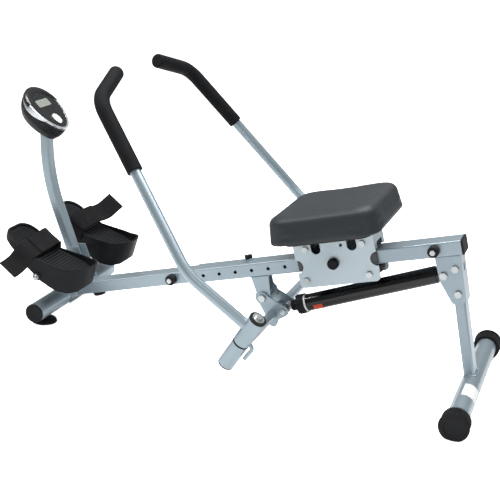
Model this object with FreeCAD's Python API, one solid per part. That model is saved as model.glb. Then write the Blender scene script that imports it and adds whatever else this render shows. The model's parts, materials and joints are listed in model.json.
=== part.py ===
"""Hydraulic rowing machine, one STEP file per named subcomponent.

Everything is drawn in the rail frame: U runs along the sloping rail toward the
rear stand, Y is the width (negative is the rower's left), N is square to the
rail's top face.  The whole machine is then tipped by the rail's slope and set
down on the floor, centred, with +Z up.
"""
import FreeCAD
import Part
import math
import os

V = FreeCAD.Vector

# ---- driving dimensions, millimetres -------------------------------------
RAIL_SLOPE_DEG = 17.7
RAIL_W = 58.0
RAIL_H = 36.0
RAIL_WALL = 2.0
RAIL_CORNER = 4.0
RAIL_FRONT_U = -30.0
RAIL_REAR_U = 664.0
HOLE_PITCH = 45.0
HOLE_COUNT = 6
HOLE_R = 4.5
SLIDE_GAP = 0.1
ROLL_GAP = 0.3
PIN_GAP = 0.05

FRONT_TUBE_REAR_U = 248.0
FRONT_STAB_U = -413.0
FRONT_STAB_N = -5.0
STAB_R = 25.0
STAB_WALL = 2.0
FRONT_STAB_HALF = 195.0
PLUG_FLANGE = 4.0
FRONT_AXIS_Z = 38.0
FOOT_Y = 146.0
FOOT_R = 33.0
REAR_STAB_U = 630.0
REAR_STAB_HALF = 250.0
REAR_CAP_R = 34.0
REAR_AXIS_Z = 33.0
REAR_CAP_LENGTH = 36.0

LEG_U = 26.0
LEG_Y = 47.0
LEG_TOP = (642.0, -24.0)
BRACKET_OUT_Y = 27.0
LEG_BOLT_R = 5.0

CRANK_PIVOT = (150.0, -73.0)
CRANK_PIN_R = 6.0
CRANK_PLATE_IN = 30.0
CRANK_PLATE_T = 4.0
BEAM_AXIS = (168.0, -117.5)
BEAM_R = 12.5
ROD_EYE = (197.0, -113.0)
ROD_BOLT_R = 5.0
ROD_EYE_BORE_R = 8.2
CYL_PIVOT = (611.6, -63.8)

HUB_BASE = V(168.0, -333.7, -117.5)
HUB_TOP = V(283.0, -355.0, -9.0)
HUB_BELOW = 13.0
SPINDLE_R = 12.5
SLEEVE_R = 20.0
SLEEVE_BORE_R = 15.5
LOWER_TUBE_R = 19.0
LOWER_TUBE_TOP = 74.0
SLEEVE_START = 79.0
SLEEVE_END = 152.0

ARM_TUBE_R = 12.7
ARM_WALL = 1.8
GRIP_R = 18.2
ARM_JOIN_AT = 121.0
ARM_LOW_BEND = V(140.0, -379.0, 105.0)
ARM_TOP_BEND = V(-43.0, -253.0, 500.0)
ARM_END = V(-60.0, -116.0, 544.0)
GRIP_LENGTH = 330.0

CARRIAGE_U0 = 262.0
CARRIAGE_U1 = 466.0
CARRIAGE_IN_Y = 40.0
CARRIAGE_T = 4.0
CARRIAGE_N0 = -55.0
CARRIAGE_N1 = 68.0
TOP_ROLLER_R = 23.0
LOW_ROLLER_R = 19.0
TOP_AXLE_U = (292.0, 436.0)
LOW_AXLE_U = (281.0, 440.0)
AXLE_R = 5.0
END_SCALLOP_R = 17.0
TOP_NOTCH_U = (319.0, 410.0)
TOP_NOTCH_R = 12.0

SEAT_U0 = 233.0
SEAT_U1 = 512.0
SEAT_HALF_Y = 151.0
SEAT_BOARD_T = 9.0
SEAT_THICK = 66.0
SEAT_BOARD_INSET = 34.0

POST_U = 25.0
POST_Y = 32.0
POST_TOP = V(-360.0, 0.0, 450.0)
POST_KNEE = V(-398.0, 0.0, 315.0)
POST_FOOT = V(-377.0, 0.0, 78.0)
POST_BEND_R = 500.0
POST_BOLT = V(-401.0, 0.0, 204.0)

CONSOLE_C = V(-347.0, 0.0, 485.0)
CONSOLE_TILT_DEG = 32.3
CONSOLE_L = 70.0
CONSOLE_W = 60.0
CONSOLE_DEPTH = 44.0

PEDAL_AXLE = V(-390.0, 0.0, 87.0)
PEDAL_TILT_DEG = 32.0
PEDAL_Y = 118.0
PEDAL_HALF_W = 57.0
PEDAL_LENGTH = 246.0
PEDAL_AXLE_R = 6.0
STRAP_W = 54.0
STRAP_T = 3.0

BUMPER_REAR_U = 600.0
BUMPER_FRONT_U = -91.0
LOCK_U = 121.0
KNOB_U = 357.0
LEG_BOLTS_N = (-50.0, -112.0)

Y_AXIS = V(0, 1, 0)
U_AXIS = V(1, 0, 0)
N_AXIS = V(0, 0, 1)
SLOPE = math.radians(RAIL_SLOPE_DEG)
WORLD_UP = V(math.sin(SLOPE), 0, math.cos(SLOPE))
WORLD_REAR = V(math.cos(SLOPE), 0, -math.sin(SLOPE))


# ---- small drawing helpers ------------------------------------------------
def box(u0, u1, y0, y1, n0, n1):
    return Part.makeBox(u1 - u0, y1 - y0, n1 - n0, V(u0, y0, n0))


def rod(start, end, radius):
    line = end - start
    return Part.makeCylinder(radius, line.Length, start, line)


def rod_y(u, n, y0, y1, radius):
    return Part.makeCylinder(radius, y1 - y0, V(u, y0, n), Y_AXIS)


def ring(start, end, outer, inner):
    return rod(start, end, outer).cut(rod(start, end, inner))


def mirror(shape):
    return shape.mirror(V(0, 0, 0), Y_AXIS)


def fuse(shapes):
    joined = shapes[0].multiFuse(shapes[1:])
    return joined.removeSplitter()


def both(shape):
    return Part.makeCompound([shape, mirror(shape)])


def plate_y(points, y0, y1):
    corners = [V(u, y0, n) for u, n in points]
    wire = Part.makePolygon(corners + corners[:1])
    return Part.Face(wire).extrude(V(0, y1 - y0, 0))


def hex_head(start, axis, across, height):
    radius = across / math.sqrt(3)
    corners = []
    for i in range(6):
        angle = math.radians(60 * i)
        corners.append(V(radius * math.cos(angle), radius * math.sin(angle), 0))
    wire = Part.makePolygon(corners + corners[:1])
    solid = Part.Face(wire).extrude(V(0, 0, height))
    turn = FreeCAD.Rotation(V(0, 0, 1), axis)
    solid.Placement = FreeCAD.Placement(start, turn)
    return solid


def rounded_rect(width, height, radius):
    """Closed wire in the local XY plane, centred on the origin."""
    w = width / 2 - radius
    h = height / 2 - radius
    k = radius * math.sqrt(0.5)
    edges = []
    for sx, sy, ex, ey, cx, cy, kx, ky in (
            (w, -h - radius, w + radius, -h, w, -h, k, -k),
            (w + radius, h, w, h + radius, w, h, k, k),
            (-w, h + radius, -w - radius, h, -w, h, -k, k),
            (-w - radius, -h, -w, -h - radius, -w, -h, -k, -k)):
        edges.append(Part.Arc(V(sx, sy, 0), V(cx + kx, cy + ky, 0), V(ex, ey, 0)).toShape())
    closed = []
    for i, arc in enumerate(edges):
        following = edges[(i + 1) % 4]
        closed.append(arc)
        closed.append(Part.makeLine(arc.Vertexes[-1].Point, following.Vertexes[0].Point))
    return Part.Wire(closed)


def place(wire, origin, x_dir, z_dir):
    """Move a flat wire so its X and Z follow the given directions."""
    moved = wire.copy()
    y_dir = z_dir.cross(x_dir)
    turn = FreeCAD.Rotation(x_dir, y_dir, z_dir, "ZXY")
    moved.Placement = FreeCAD.Placement(origin, turn)
    return moved


def rail_section(u0, u1, width, height, corner):
    wire = place(rounded_rect(width, height, corner), V(u0, 0, 0), Y_AXIS, U_AXIS)
    return Part.Face(wire).extrude(V(u1 - u0, 0, 0))


def rounded_path(points, radii):
    """Polyline with each inner corner replaced by a tangent arc."""
    edges = []
    last = points[0]
    for i in range(1, len(points) - 1):
        back = (points[i - 1] - points[i]).normalize()
        ahead = (points[i + 1] - points[i]).normalize()
        half = back.getAngle(ahead) / 2
        reach = radii[i - 1] / math.tan(half)
        first = points[i] + back * reach
        second = points[i] + ahead * reach
        middle_dir = (back + ahead).normalize()
        centre = points[i] + middle_dir * (radii[i - 1] / math.sin(half))
        middle = centre - middle_dir * radii[i - 1]
        edges.append(Part.makeLine(last, first))
        edges.append(Part.Arc(first, middle, second).toShape())
        last = second
    edges.append(Part.makeLine(last, points[-1]))
    return Part.Wire(edges)


def sweep_round(path, radius):
    start = path.Edges[0].Vertexes[0].Point
    tangent = path.Edges[0].tangentAt(path.Edges[0].FirstParameter)
    profile = Part.Wire([Part.makeCircle(radius, start, tangent)])
    return path.makePipeShell([profile], True, True)


def capsule(p1, r1, p2, r2, y0, y1):
    """Plate with the outline of a belt around two circles."""
    du = p2[0] - p1[0]
    dn = p2[1] - p1[1]
    dist = math.hypot(du, dn)
    base = math.atan2(dn, du)
    lean = math.acos((r1 - r2) / dist)
    a = base + lean
    b = base - lean
    corners = [(p1[0] + r1 * math.cos(a), p1[1] + r1 * math.sin(a)),
               (p2[0] + r2 * math.cos(a), p2[1] + r2 * math.sin(a)),
               (p2[0] + r2 * math.cos(b), p2[1] + r2 * math.sin(b)),
               (p1[0] + r1 * math.cos(b), p1[1] + r1 * math.sin(b))]
    return fuse([plate_y(corners, y0, y1),
                 rod_y(p1[0], p1[1], y0, y1, r1),
                 rod_y(p2[0], p2[1], y0, y1, r2)])


def ribbon(points, thickness, width_start, width_dir):
    """Thin band following a smooth curve through the points."""
    curve = Part.BSplineCurve()
    curve.interpolate(points)
    side = width_dir.normalize()
    upper = []
    lower = []
    steps = 18
    for i in range(steps + 1):
        at = curve.FirstParameter + (curve.LastParameter - curve.FirstParameter) * i / steps
        spot = curve.value(at)
        normal = side.cross(curve.tangent(at)[0]).normalize()
        upper.append(spot + normal * (thickness / 2))
        lower.append(spot - normal * (thickness / 2))
    top = Part.BSplineCurve()
    top.interpolate(upper)
    bottom = Part.BSplineCurve()
    bottom.interpolate(lower)
    outline = Part.Wire([top.toShape(), Part.makeLine(upper[-1], lower[-1]),
                         bottom.toShape(), Part.makeLine(lower[0], upper[0])])
    return Part.Face(outline).extrude(width_start)


# ---- derived positions -----------------------------------------------------
def rear_stab_n():
    """Depth of the rear crossbar that keeps both ends of the machine on the floor."""
    run = REAR_STAB_U - FRONT_STAB_U
    drop = (REAR_AXIS_Z - FRONT_AXIS_Z - run * math.sin(SLOPE)) / math.cos(SLOPE)
    return FRONT_STAB_N + drop


REAR_STAB_N = rear_stab_n()
TOP_AXLE_N = RAIL_H / 2 + ROLL_GAP + TOP_ROLLER_R
LOW_AXLE_N = -RAIL_H / 2 - ROLL_GAP - LOW_ROLLER_R
LEG_FOOT = (REAR_STAB_U - 2.0, REAR_STAB_N)
HUB_AXIS = (HUB_TOP - HUB_BASE).normalize()
HUB_START = HUB_BASE - HUB_AXIS * HUB_BELOW
CYL_BACK = V(CYL_PIVOT[0], 0, CYL_PIVOT[1])
CYL_FRONT = V(ROD_EYE[0], 0, ROD_EYE[1])
CYL_DIR = (CYL_FRONT - CYL_BACK).normalize()
CYL_SPAN = (CYL_FRONT - CYL_BACK).Length


def hub(distance):
    return HUB_START + HUB_AXIS * distance


def along_cyl(distance):
    return CYL_BACK + CYL_DIR * distance


# ---- rail, rear stand ------------------------------------------------------
def main_rail():
    outer = rail_section(RAIL_FRONT_U, RAIL_REAR_U, RAIL_W, RAIL_H, RAIL_CORNER)
    inner = rail_section(RAIL_FRONT_U, RAIL_REAR_U, RAIL_W - 2 * RAIL_WALL,
                         RAIL_H - 2 * RAIL_WALL, RAIL_CORNER - 1.5)
    tube = outer.cut(inner)
    holes = [rod_y(i * HOLE_PITCH, 0, -RAIL_W, RAIL_W, HOLE_R) for i in range(HOLE_COUNT)]
    holes.append(rod_y(BUMPER_REAR_U, 0, -RAIL_W, RAIL_W, 4.0))
    holes.append(rod(V(LOCK_U, 0, 0), V(LOCK_U, 0, 60), 5.0 + PIN_GAP))
    tube = tube.cut(Part.makeCompound(holes))
    boss = ring(V(LOCK_U, 0, RAIL_H / 2), V(LOCK_U, 0, RAIL_H / 2 + 6), 9.0, 5.0 + PIN_GAP)
    return fuse([tube, boss])


def rail_end_cap():
    inner = rail_section(RAIL_REAR_U - 16, RAIL_REAR_U, RAIL_W - 2 * RAIL_WALL,
                         RAIL_H - 2 * RAIL_WALL, RAIL_CORNER - 1.5)
    hollow = rail_section(RAIL_REAR_U - 16, RAIL_REAR_U - 2, RAIL_W - 2 * RAIL_WALL - 5,
                          RAIL_H - 2 * RAIL_WALL - 5, 1.5)
    lid = rail_section(RAIL_REAR_U, RAIL_REAR_U + 5, RAIL_W, RAIL_H, RAIL_CORNER)
    rim = [edge for edge in lid.Edges if abs(edge.BoundBox.XMin - RAIL_REAR_U - 5) < 0.01]
    lid = lid.makeFillet(1.8, rim)
    return fuse([inner.cut(hollow), lid])


def drop_bracket():
    """Channel under the rail, open to the rear, that carries the crank pin."""
    top = -RAIL_H / 2
    pu, pn = CRANK_PIVOT
    outline = [(129, top), (176, top), (170, pn + 8), (168, pn - 4), (pu, pn - 21), (140, pn - 23)]
    body = fuse([plate_y(outline, -28, 28), rod_y(pu, pn, -28, 28, 21)])
    front = [(132.5, top - 3), (190, top - 3), (190, -150), (142.5, -150), (139.5, pn - 10)]
    body = body.cut(plate_y(front, -25, 25))
    relief = [(190, top - 3), (163, top - 3), (163, pn + 20), (172, pn + 8), (190, pn + 8)]
    body = body.cut(plate_y(relief, 24, 30))
    body = fuse([body, rod_y(pu, pn, -26, 26, 9.5)])
    return body.cut(rod_y(pu, pn, -40, 40, CRANK_PIN_R))


def leg_direction():
    return V(LEG_FOOT[0] - LEG_TOP[0], 0, LEG_FOOT[1] - LEG_TOP[1]).normalize()


def leg_point(depth, shift=0.0):
    """Point on the leg's centre line at rail depth n, moved rearward by shift."""
    share = (depth - LEG_TOP[1]) / (LEG_FOOT[1] - LEG_TOP[1])
    return (LEG_TOP[0] + share * (LEG_FOOT[0] - LEG_TOP[0]) + shift, depth)


def leg_bracket():
    """Gusset channel under the rear of the rail: two cheeks and a rear web."""
    top = -RAIL_H / 2
    web = LEG_U / 2 + 3.8
    rear_low = leg_point(-136, web)
    rear_top = leg_point(top, web)
    outline = [(598, top), (600, -76), (619, -130), (624, -136), rear_low, rear_top]
    body = plate_y(outline, -BRACKET_OUT_Y, BRACKET_OUT_Y)
    gap = [(560, top - 3), leg_point(top - 3, web - 3), leg_point(-170, web - 3), (560, -170)]
    body = body.cut(plate_y(gap, -LEG_Y / 2, LEG_Y / 2))
    pins = [rod_y(*leg_point(n), -40, 40, LEG_BOLT_R) for n in LEG_BOLTS_N]
    pins.append(rod_y(CYL_PIVOT[0], CYL_PIVOT[1], -40, 40, CRANK_PIN_R))
    slot_u = leg_point(-50, web)[0]
    pins.append(box(slot_u - 12, slot_u + 12, -6, 6, -62, -44))
    return body.cut(Part.makeCompound(pins))


def leg_tube():
    """Leg from the gusset channel down to the rear crossbar."""
    down = leg_direction()
    start = V(LEG_TOP[0], 0, LEG_TOP[1])
    end = V(LEG_FOOT[0], 0, LEG_FOOT[1])
    length = (end - start).Length
    outer = Part.Face(place(rounded_rect(LEG_Y, LEG_U, 6.0), start, Y_AXIS, down))
    inner = Part.Face(place(rounded_rect(LEG_Y - 4, LEG_U - 4, 4.0), start, Y_AXIS, down))
    tube = outer.extrude(down * length).cut(inner.extrude(down * length))
    tube = tube.cut(rod_y(REAR_STAB_U, REAR_STAB_N, -60, 60, STAB_R))
    pins = [rod_y(*leg_point(n), -40, 40, LEG_BOLT_R) for n in LEG_BOLTS_N]
    return tube.cut(Part.makeCompound(pins))


def rear_stabiliser():
    u = REAR_STAB_U
    n = REAR_STAB_N
    tube = rod_y(u, n, -REAR_STAB_HALF, REAR_STAB_HALF, STAB_R)
    return tube.cut(rod_y(u, n, -REAR_STAB_HALF, REAR_STAB_HALF, STAB_R - STAB_WALL))


def rear_cap():
    """Ribbed rubber cup over a crossbar end, with a flat where it meets the floor."""
    u = REAR_STAB_U
    n = REAR_STAB_N
    face = -REAR_STAB_HALF - 6
    cup = rod_y(u, n, face, face + REAR_CAP_LENGTH, REAR_CAP_R)
    rims = [edge for edge in cup.Edges if edge.Length > 100 and edge.BoundBox.YLength < 0.1]
    cup = cup.makeFillet(3.0, rims)
    cup = cup.cut(rod_y(u, n, -REAR_STAB_HALF, face + REAR_CAP_LENGTH + 1, STAB_R))
    grooves = []
    for i in range(24):
        angle = math.radians(15 * i)
        gu = u + (REAR_CAP_R + 1.2) * math.cos(angle)
        gn = n + (REAR_CAP_R + 1.2) * math.sin(angle)
        grooves.append(rod_y(gu, gn, face - 1, face + REAR_CAP_LENGTH - 8, 2.6))
    cup = cup.cut(Part.makeCompound(grooves))
    dish = rod_y(u, n, face - 1, face + 1.5, 24.0)
    floor = V(u, face - 5, n) - WORLD_UP * (REAR_AXIS_Z + 20) - WORLD_REAR * 40
    slab = Part.makeBox(80, REAR_CAP_LENGTH + 12, 20)
    turn = FreeCAD.Rotation(V(0, 1, 0), RAIL_SLOPE_DEG)
    slab.Placement = FreeCAD.Placement(floor, turn)
    return cup.cut(dish).cut(slab)


def bumper(u, half_w):
    pad = rod_y(u, 0, -half_w - 16, -half_w, 13.5)
    outer = [edge for edge in pad.Edges if abs(edge.BoundBox.YMin + half_w + 16) < 0.01
             and edge.BoundBox.YLength < 0.1]
    pad = pad.makeFillet(2.5, outer)
    return pad.cut(rod_y(u, 0, -half_w - 17, -half_w + 1, 4.0))


def cross_bolt(u, n, half_y, radius, across, head):
    """Bolt along Y with a head on the left and a nut on the right."""
    shank = rod_y(u, n, -half_y, half_y + head, radius)
    left = hex_head(V(u, -half_y, n), V(0, -1, 0), across, head)
    right = hex_head(V(u, half_y, n), Y_AXIS, across, head - 1)
    return fuse([shank, left, right])


def frame_bolts():
    bolts = [cross_bolt(*leg_point(n), BRACKET_OUT_Y, LEG_BOLT_R, 16, 6) for n in LEG_BOLTS_N]
    bolts.append(cross_bolt(BUMPER_REAR_U, 0, RAIL_W / 2 + 16, 4.0, 12, 5))
    return Part.makeCompound(bolts)


# ---- telescoping front section --------------------------------------------
def front_tube():
    width = RAIL_W - 2 * RAIL_WALL - 2 * SLIDE_GAP
    height = RAIL_H - 2 * RAIL_WALL - 2 * SLIDE_GAP
    outer = rail_section(FRONT_STAB_U, FRONT_TUBE_REAR_U, width, height, 3.0)
    inner = rail_section(FRONT_STAB_U, FRONT_TUBE_REAR_U, width - 4, height - 4, 1.5)
    u = FRONT_STAB_U
    n = FRONT_STAB_N
    tube = outer.cut(inner).cut(rod_y(u, n, -60, 60, STAB_R))
    shell = rod_y(u, n, -50, 50, STAB_R + 3.5).cut(rod_y(u, n, -60, 60, STAB_R))
    saddle = shell.common(box(u + 12, u + 60, -60, 60, n - 40, n + 40))
    holes = [rod_y(i * HOLE_PITCH, 0, -RAIL_W, RAIL_W, HOLE_R) for i in range(HOLE_COUNT)]
    holes.append(rod_y(BUMPER_FRONT_U, 0, -RAIL_W, RAIL_W, 4.0))
    whole = fuse([tube, saddle]).cut(Part.makeCompound(holes))
    return whole.cut(both(saddle_bolt_shank()))


def saddle_bolt_shank():
    u = FRONT_STAB_U
    return rod(V(u + 15, -39, FRONT_STAB_N), V(u + STAB_R + 3.5, -39, FRONT_STAB_N), 4.0)


def front_stabiliser():
    u = FRONT_STAB_U
    n = FRONT_STAB_N
    tube = rod_y(u, n, -FRONT_STAB_HALF, FRONT_STAB_HALF, STAB_R)
    tube = tube.cut(rod_y(u, n, -FRONT_STAB_HALF, FRONT_STAB_HALF, STAB_R - STAB_WALL))
    return tube.cut(both(saddle_bolt_shank())).cut(both(foot_stud()))


def front_plug():
    u = FRONT_STAB_U
    n = FRONT_STAB_N
    end = -FRONT_STAB_HALF
    lid = rod_y(u, n, end - PLUG_FLANGE, end, STAB_R)
    rim = [edge for edge in lid.Edges if abs(edge.BoundBox.YMin - end + PLUG_FLANGE) < 0.01
           and edge.BoundBox.YLength < 0.1]
    lid = lid.makeFillet(2.0, rim)
    skirt = rod_y(u, n, end, end + 18, STAB_R - STAB_WALL)
    skirt = skirt.cut(rod_y(u, n, end, end + 18, STAB_R - STAB_WALL - 3))
    return fuse([lid, skirt])


def foot_axis_point(height):
    centre = V(FRONT_STAB_U, -FOOT_Y, FRONT_STAB_N)
    return centre + WORLD_UP * (height - FRONT_AXIS_Z)


def foot_stud():
    return rod(foot_axis_point(9.0), foot_axis_point(FRONT_AXIS_Z - STAB_R + 8), 5.0)


def front_foot():
    """Round levelling foot: a low rubber cone on a stud."""
    disc = Part.makeCone(FOOT_R, FOOT_R - 2, 5, foot_axis_point(0), WORLD_UP)
    cone = Part.makeCone(FOOT_R - 2, 14, 6, foot_axis_point(5), WORLD_UP)
    return fuse([disc, cone, foot_stud()])


def front_bolts():
    u = FRONT_STAB_U
    head = hex_head(V(u + STAB_R + 3.5, -39, FRONT_STAB_N), U_AXIS, 14, 6)
    saddle = both(fuse([saddle_bolt_shank(), head]))
    cross = cross_bolt(BUMPER_FRONT_U, 0, front_half_width() + 16, 4.0, 12, 5)
    return Part.makeCompound([saddle, cross, post_bolt()])


def front_bumpers():
    """Side stops for the telescope and a rubber pad under the tube."""
    low = -front_half_height()
    pad = Part.makeCone(19.0, 15.0, 12.0, V(-332, 0, low), V(0, 0, -1))
    return Part.makeCompound([both(bumper(BUMPER_FRONT_U, front_half_width())), pad])


def front_half_width():
    return RAIL_W / 2 - RAIL_WALL - SLIDE_GAP


def post_bracket():
    """Upright cheeks on the front tube that hold the post and the footplate axle."""
    floor = front_half_height()
    au = PEDAL_AXLE.x
    an = PEDAL_AXLE.z
    side = [(-378, floor), (-338, floor), (-350, an + 26), (-374, an + 30),
            (au - 13, an + 12), (au - 15, an - 8), (au - 4, an - 18)]
    inner = POST_Y / 2
    cheek = plate_y(side, -inner - 3.5, -inner)
    base = box(-378, -338, -inner, inner, floor, floor + 4)
    body = fuse([cheek, mirror(cheek), base])
    return body.cut(rod_y(au, an, -60, 60, PEDAL_AXLE_R))


def front_half_height():
    return RAIL_H / 2 - RAIL_WALL - SLIDE_GAP


def post_path():
    return rounded_path([POST_TOP, POST_KNEE, POST_FOOT], [POST_BEND_R])


def post_solid(width_u, width_y, corner):
    path = post_path()
    down = (POST_KNEE - POST_TOP).normalize()
    wire = place(rounded_rect(width_y, width_u, corner), POST_TOP, Y_AXIS, down)
    return path.makePipeShell([wire], True, True)


def post_bolt():
    shank = rod(POST_BOLT, POST_BOLT + U_AXIS * 9, 3.0)
    return fuse([shank, hex_head(POST_BOLT, U_AXIS * -1, 10, 5)])


def console_post():
    outer = post_solid(POST_U, POST_Y, 5.0)
    inner = post_solid(POST_U - 3.6, POST_Y - 3.6, 3.2)
    tube = outer.cut(inner).cut(post_bolt())
    return tube.cut(rod_y(PEDAL_AXLE.x, PEDAL_AXLE.z, -60, 60, PEDAL_AXLE_R))


# ---- console ----------------------------------------------------------------
def console_axes():
    tilt = math.radians(CONSOLE_TILT_DEG)
    normal = V(math.cos(tilt), 0, math.sin(tilt))
    up = V(-math.sin(tilt), 0, math.cos(tilt))
    return normal, up


def console_spot(across, up_by, out):
    normal, up = console_axes()
    return CONSOLE_C + Y_AXIS * across + up * up_by + normal * out


def egg(length, width, out, drop=0.0):
    """Egg outline in the console's face plane, narrower toward the rower."""
    points = []
    count = 16
    for i in range(count):
        angle = 2 * math.pi * i / count
        across = width * math.sin(angle) * (1 + 0.16 * math.cos(angle))
        points.append(console_spot(across, length * math.cos(angle) - drop, out))
    curve = Part.BSplineCurve()
    curve.interpolate(points, PeriodicFlag=True)
    return Part.Wire([curve.toShape()])


def egg_solid(length, width, out0, out1):
    normal, _ = console_axes()
    return Part.Face(egg(length, width, out0)).extrude(normal * (out1 - out0))


def console_loft(shrink, out0, out1):
    wires = [egg(CONSOLE_L - shrink, CONSOLE_W - shrink, out1),
             egg(CONSOLE_L - 2 - shrink, CONSOLE_W - 2 - shrink, (out0 + out1) / 2, 3.0),
             egg(CONSOLE_L - 12 - shrink, CONSOLE_W - 12 - shrink, out0, 9.0)]
    return Part.makeLoft(wires, True)


def console_shell():
    outer = console_loft(0.0, -CONSOLE_DEPTH, 0.0)
    inner = console_loft(2.5, -CONSOLE_DEPTH + 3, 0.0)
    shell = outer.cut(inner)
    for i in range(5):
        out = -8.0 - 4.5 * i
        groove = egg_solid(CONSOLE_L + 5, CONSOLE_W + 5, out, out + 1.6)
        groove = groove.cut(console_loft(1.0, -CONSOLE_DEPTH, 0.0))
        shell = shell.cut(groove)
    return shell.cut(post_solid(POST_U, POST_Y, 5.0))


def console_trim():
    """Bright rim round the face."""
    band = egg_solid(CONSOLE_L + 0.5, CONSOLE_W + 0.5, 0.0, 4.0)
    return band.cut(egg_solid(CONSOLE_L - 5, CONSOLE_W - 5, -1, 6))


def window_solid(out0, out1, grow):
    normal, up = console_axes()
    wire = rounded_rect(56 + grow, 22 + grow, 3)
    wire = place(wire, console_spot(0, 19, out0), Y_AXIS, normal)
    return Part.Face(wire).extrude(normal * (out1 - out0))


def button_solid(out0, out1, grow):
    normal, up = console_axes()
    oval = Part.Ellipse(console_spot(0, -36 + 16 + grow, out0),
                        console_spot(12.5 + grow, -36, out0),
                        console_spot(0, -36, out0)).toShape()
    return Part.Face(Part.Wire([oval])).extrude(normal * (out1 - out0))


def console_face():
    plate = egg_solid(CONSOLE_L - 5, CONSOLE_W - 5, 0.0, 3.0)
    plate = plate.cut(window_solid(1.2, 5, 0))
    return plate.cut(button_solid(-1, 5, 0.3))


def console_lens():
    return window_solid(1.2, 3.0, 0)


def console_button():
    stem = button_solid(0.5, 5.0, 0.0)
    normal, _ = console_axes()
    flange_out = button_solid(-3.5, -1.5, 2.0)
    neck = button_solid(-1.5, 0.5, 0.0)
    top = [edge for edge in stem.Edges if edge.Length > 60]
    far = max(top, key=lambda edge: (edge.CenterOfMass - CONSOLE_C).dot(normal))
    return fuse([stem.makeFillet(1.5, [far]), neck, flange_out])


# ---- footplates -------------------------------------------------------------
def pedal_point(along, perp, y=0.0):
    """Along runs heel to toe from the heel rim, perp is height above the heel rim."""
    tilt = math.radians(PEDAL_TILT_DEG)
    fore = V(-math.cos(tilt), 0, math.sin(tilt))
    lift = V(math.sin(tilt), 0, math.cos(tilt))
    return PEDAL_AXLE + fore * (along - 120) + lift * (perp + 68) + V(0, y, 0)


def pedal_outline(inset):
    """Sole outline, a blunt oval, drawn well below the pedal for an upward pull."""
    half = PEDAL_HALF_W - inset
    length = PEDAL_LENGTH - inset
    spots = [(inset, 0), (inset + 9, 0.6 * half), (45, 0.97 * half), (110, half),
             (180, half), (length - 17, 0.9 * half), (length - 2, 0.55 * half),
             (length, 0)]
    points = [pedal_point(a, -110, -PEDAL_Y + w) for a, w in spots]
    points += [pedal_point(a, -110, -PEDAL_Y - w) for a, w in reversed(spots[1:-1])]
    curve = Part.BSplineCurve()
    curve.interpolate(points, PeriodicFlag=True)
    wire = Part.Wire([curve.toShape()])
    lift = pedal_point(0, 1) - pedal_point(0, 0)
    return Part.Face(wire).extrude(lift * 150)


def pedal_profile(points):
    corners = [pedal_point(a, p, -PEDAL_Y - 80) for a, p in points]
    wire = Part.makePolygon(corners + corners[:1])
    return Part.Face(wire).extrude(V(0, 160, 0))


def pedal():
    """Heel cup and ribbed sole moulded in one piece, hollow underneath."""
    side = [(-5, 1), (10, 0), (40, -13), (84, -20), (131, -25), (175, -20), (205, -7),
            (250, 5), (250, -7), (218, -19), (190, -34), (150, -60), (108, -76), (60, -82), (30, -79),
            (10, -68), (-5, -48)]
    under = [(-8, -36), (168, -33), (148, -52), (104, -100), (34, -100), (-8, -100)]
    body = pedal_outline(0).common(pedal_profile(side))
    well = [(-8, 12), (262, 12), (262, 3), (205, -12), (175, -25), (90, -30), (-8, -30)]
    body = body.cut(pedal_outline(5).common(pedal_profile(well)))
    body = body.cut(pedal_outline(5).common(pedal_profile(under)))
    grooves = []
    for i in range(14):
        at = 18 + 9 * i
        groove = pedal_profile([(at, -31.4), (at + 3, -31.4), (at + 3, -20), (at, -20)])
        grooves.append(groove)
    ribbed = pedal_outline(14).common(Part.makeCompound(grooves))
    body = body.cut(ribbed)
    au = PEDAL_AXLE.x
    an = PEDAL_AXLE.z
    y0 = -PEDAL_Y - PEDAL_HALF_W + 0.5
    y1 = -PEDAL_Y + PEDAL_HALF_W - 0.5
    boss = rod_y(au, an, y0, y1, 12.0)
    hanger = pedal_profile([(112, -62), (128, -62), (128, -32), (112, -32)])
    hanger = hanger.common(pedal_outline(4))
    body = fuse([body, boss, hanger])
    return body.cut(rod_y(au, an, y0 - 1, y1 + 1, PEDAL_AXLE_R + PIN_GAP))


def strap(spots, middle, skew, roll_deg):
    """Webbing over the instep; spots are (distance inward, height above the rim)."""
    roll = math.radians(roll_deg)
    fore = pedal_point(1, 0) - pedal_point(0, 0)
    lift = pedal_point(0, 1) - pedal_point(0, 0)
    across = fore * math.cos(roll) + lift * math.sin(roll)
    flat = (Y_AXIS - fore * skew).cross(lift)
    edge = across * (STRAP_W / 2)
    points = [pedal_point(middle - skew * y, perp, -PEDAL_Y + y) - edge for y, perp in spots]
    return ribbon(points, STRAP_T, across * STRAP_W, flat)


def strap_left():
    """Free end droops outside the footplate."""
    spots = [(59.6, -43), (59.4, -22), (52, -4), (36, 1), (10, -4), (-32, -9), (-55, -12),
             (-68, -20), (-87, -36), (-108, -44), (-130, -48)]
    return strap(spots, 160.0, 0.06, 20.0)


def strap_right():
    """Free end stands up beyond the footplate."""
    spots = [(59.6, -43), (59.4, -22), (51, -5), (38, 1), (18, 7), (-10, 12), (-32, 13),
             (-52, 17), (-72, 29), (-92, 42)]
    return mirror(strap(spots, 146.0, -0.22, 22.0))


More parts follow.
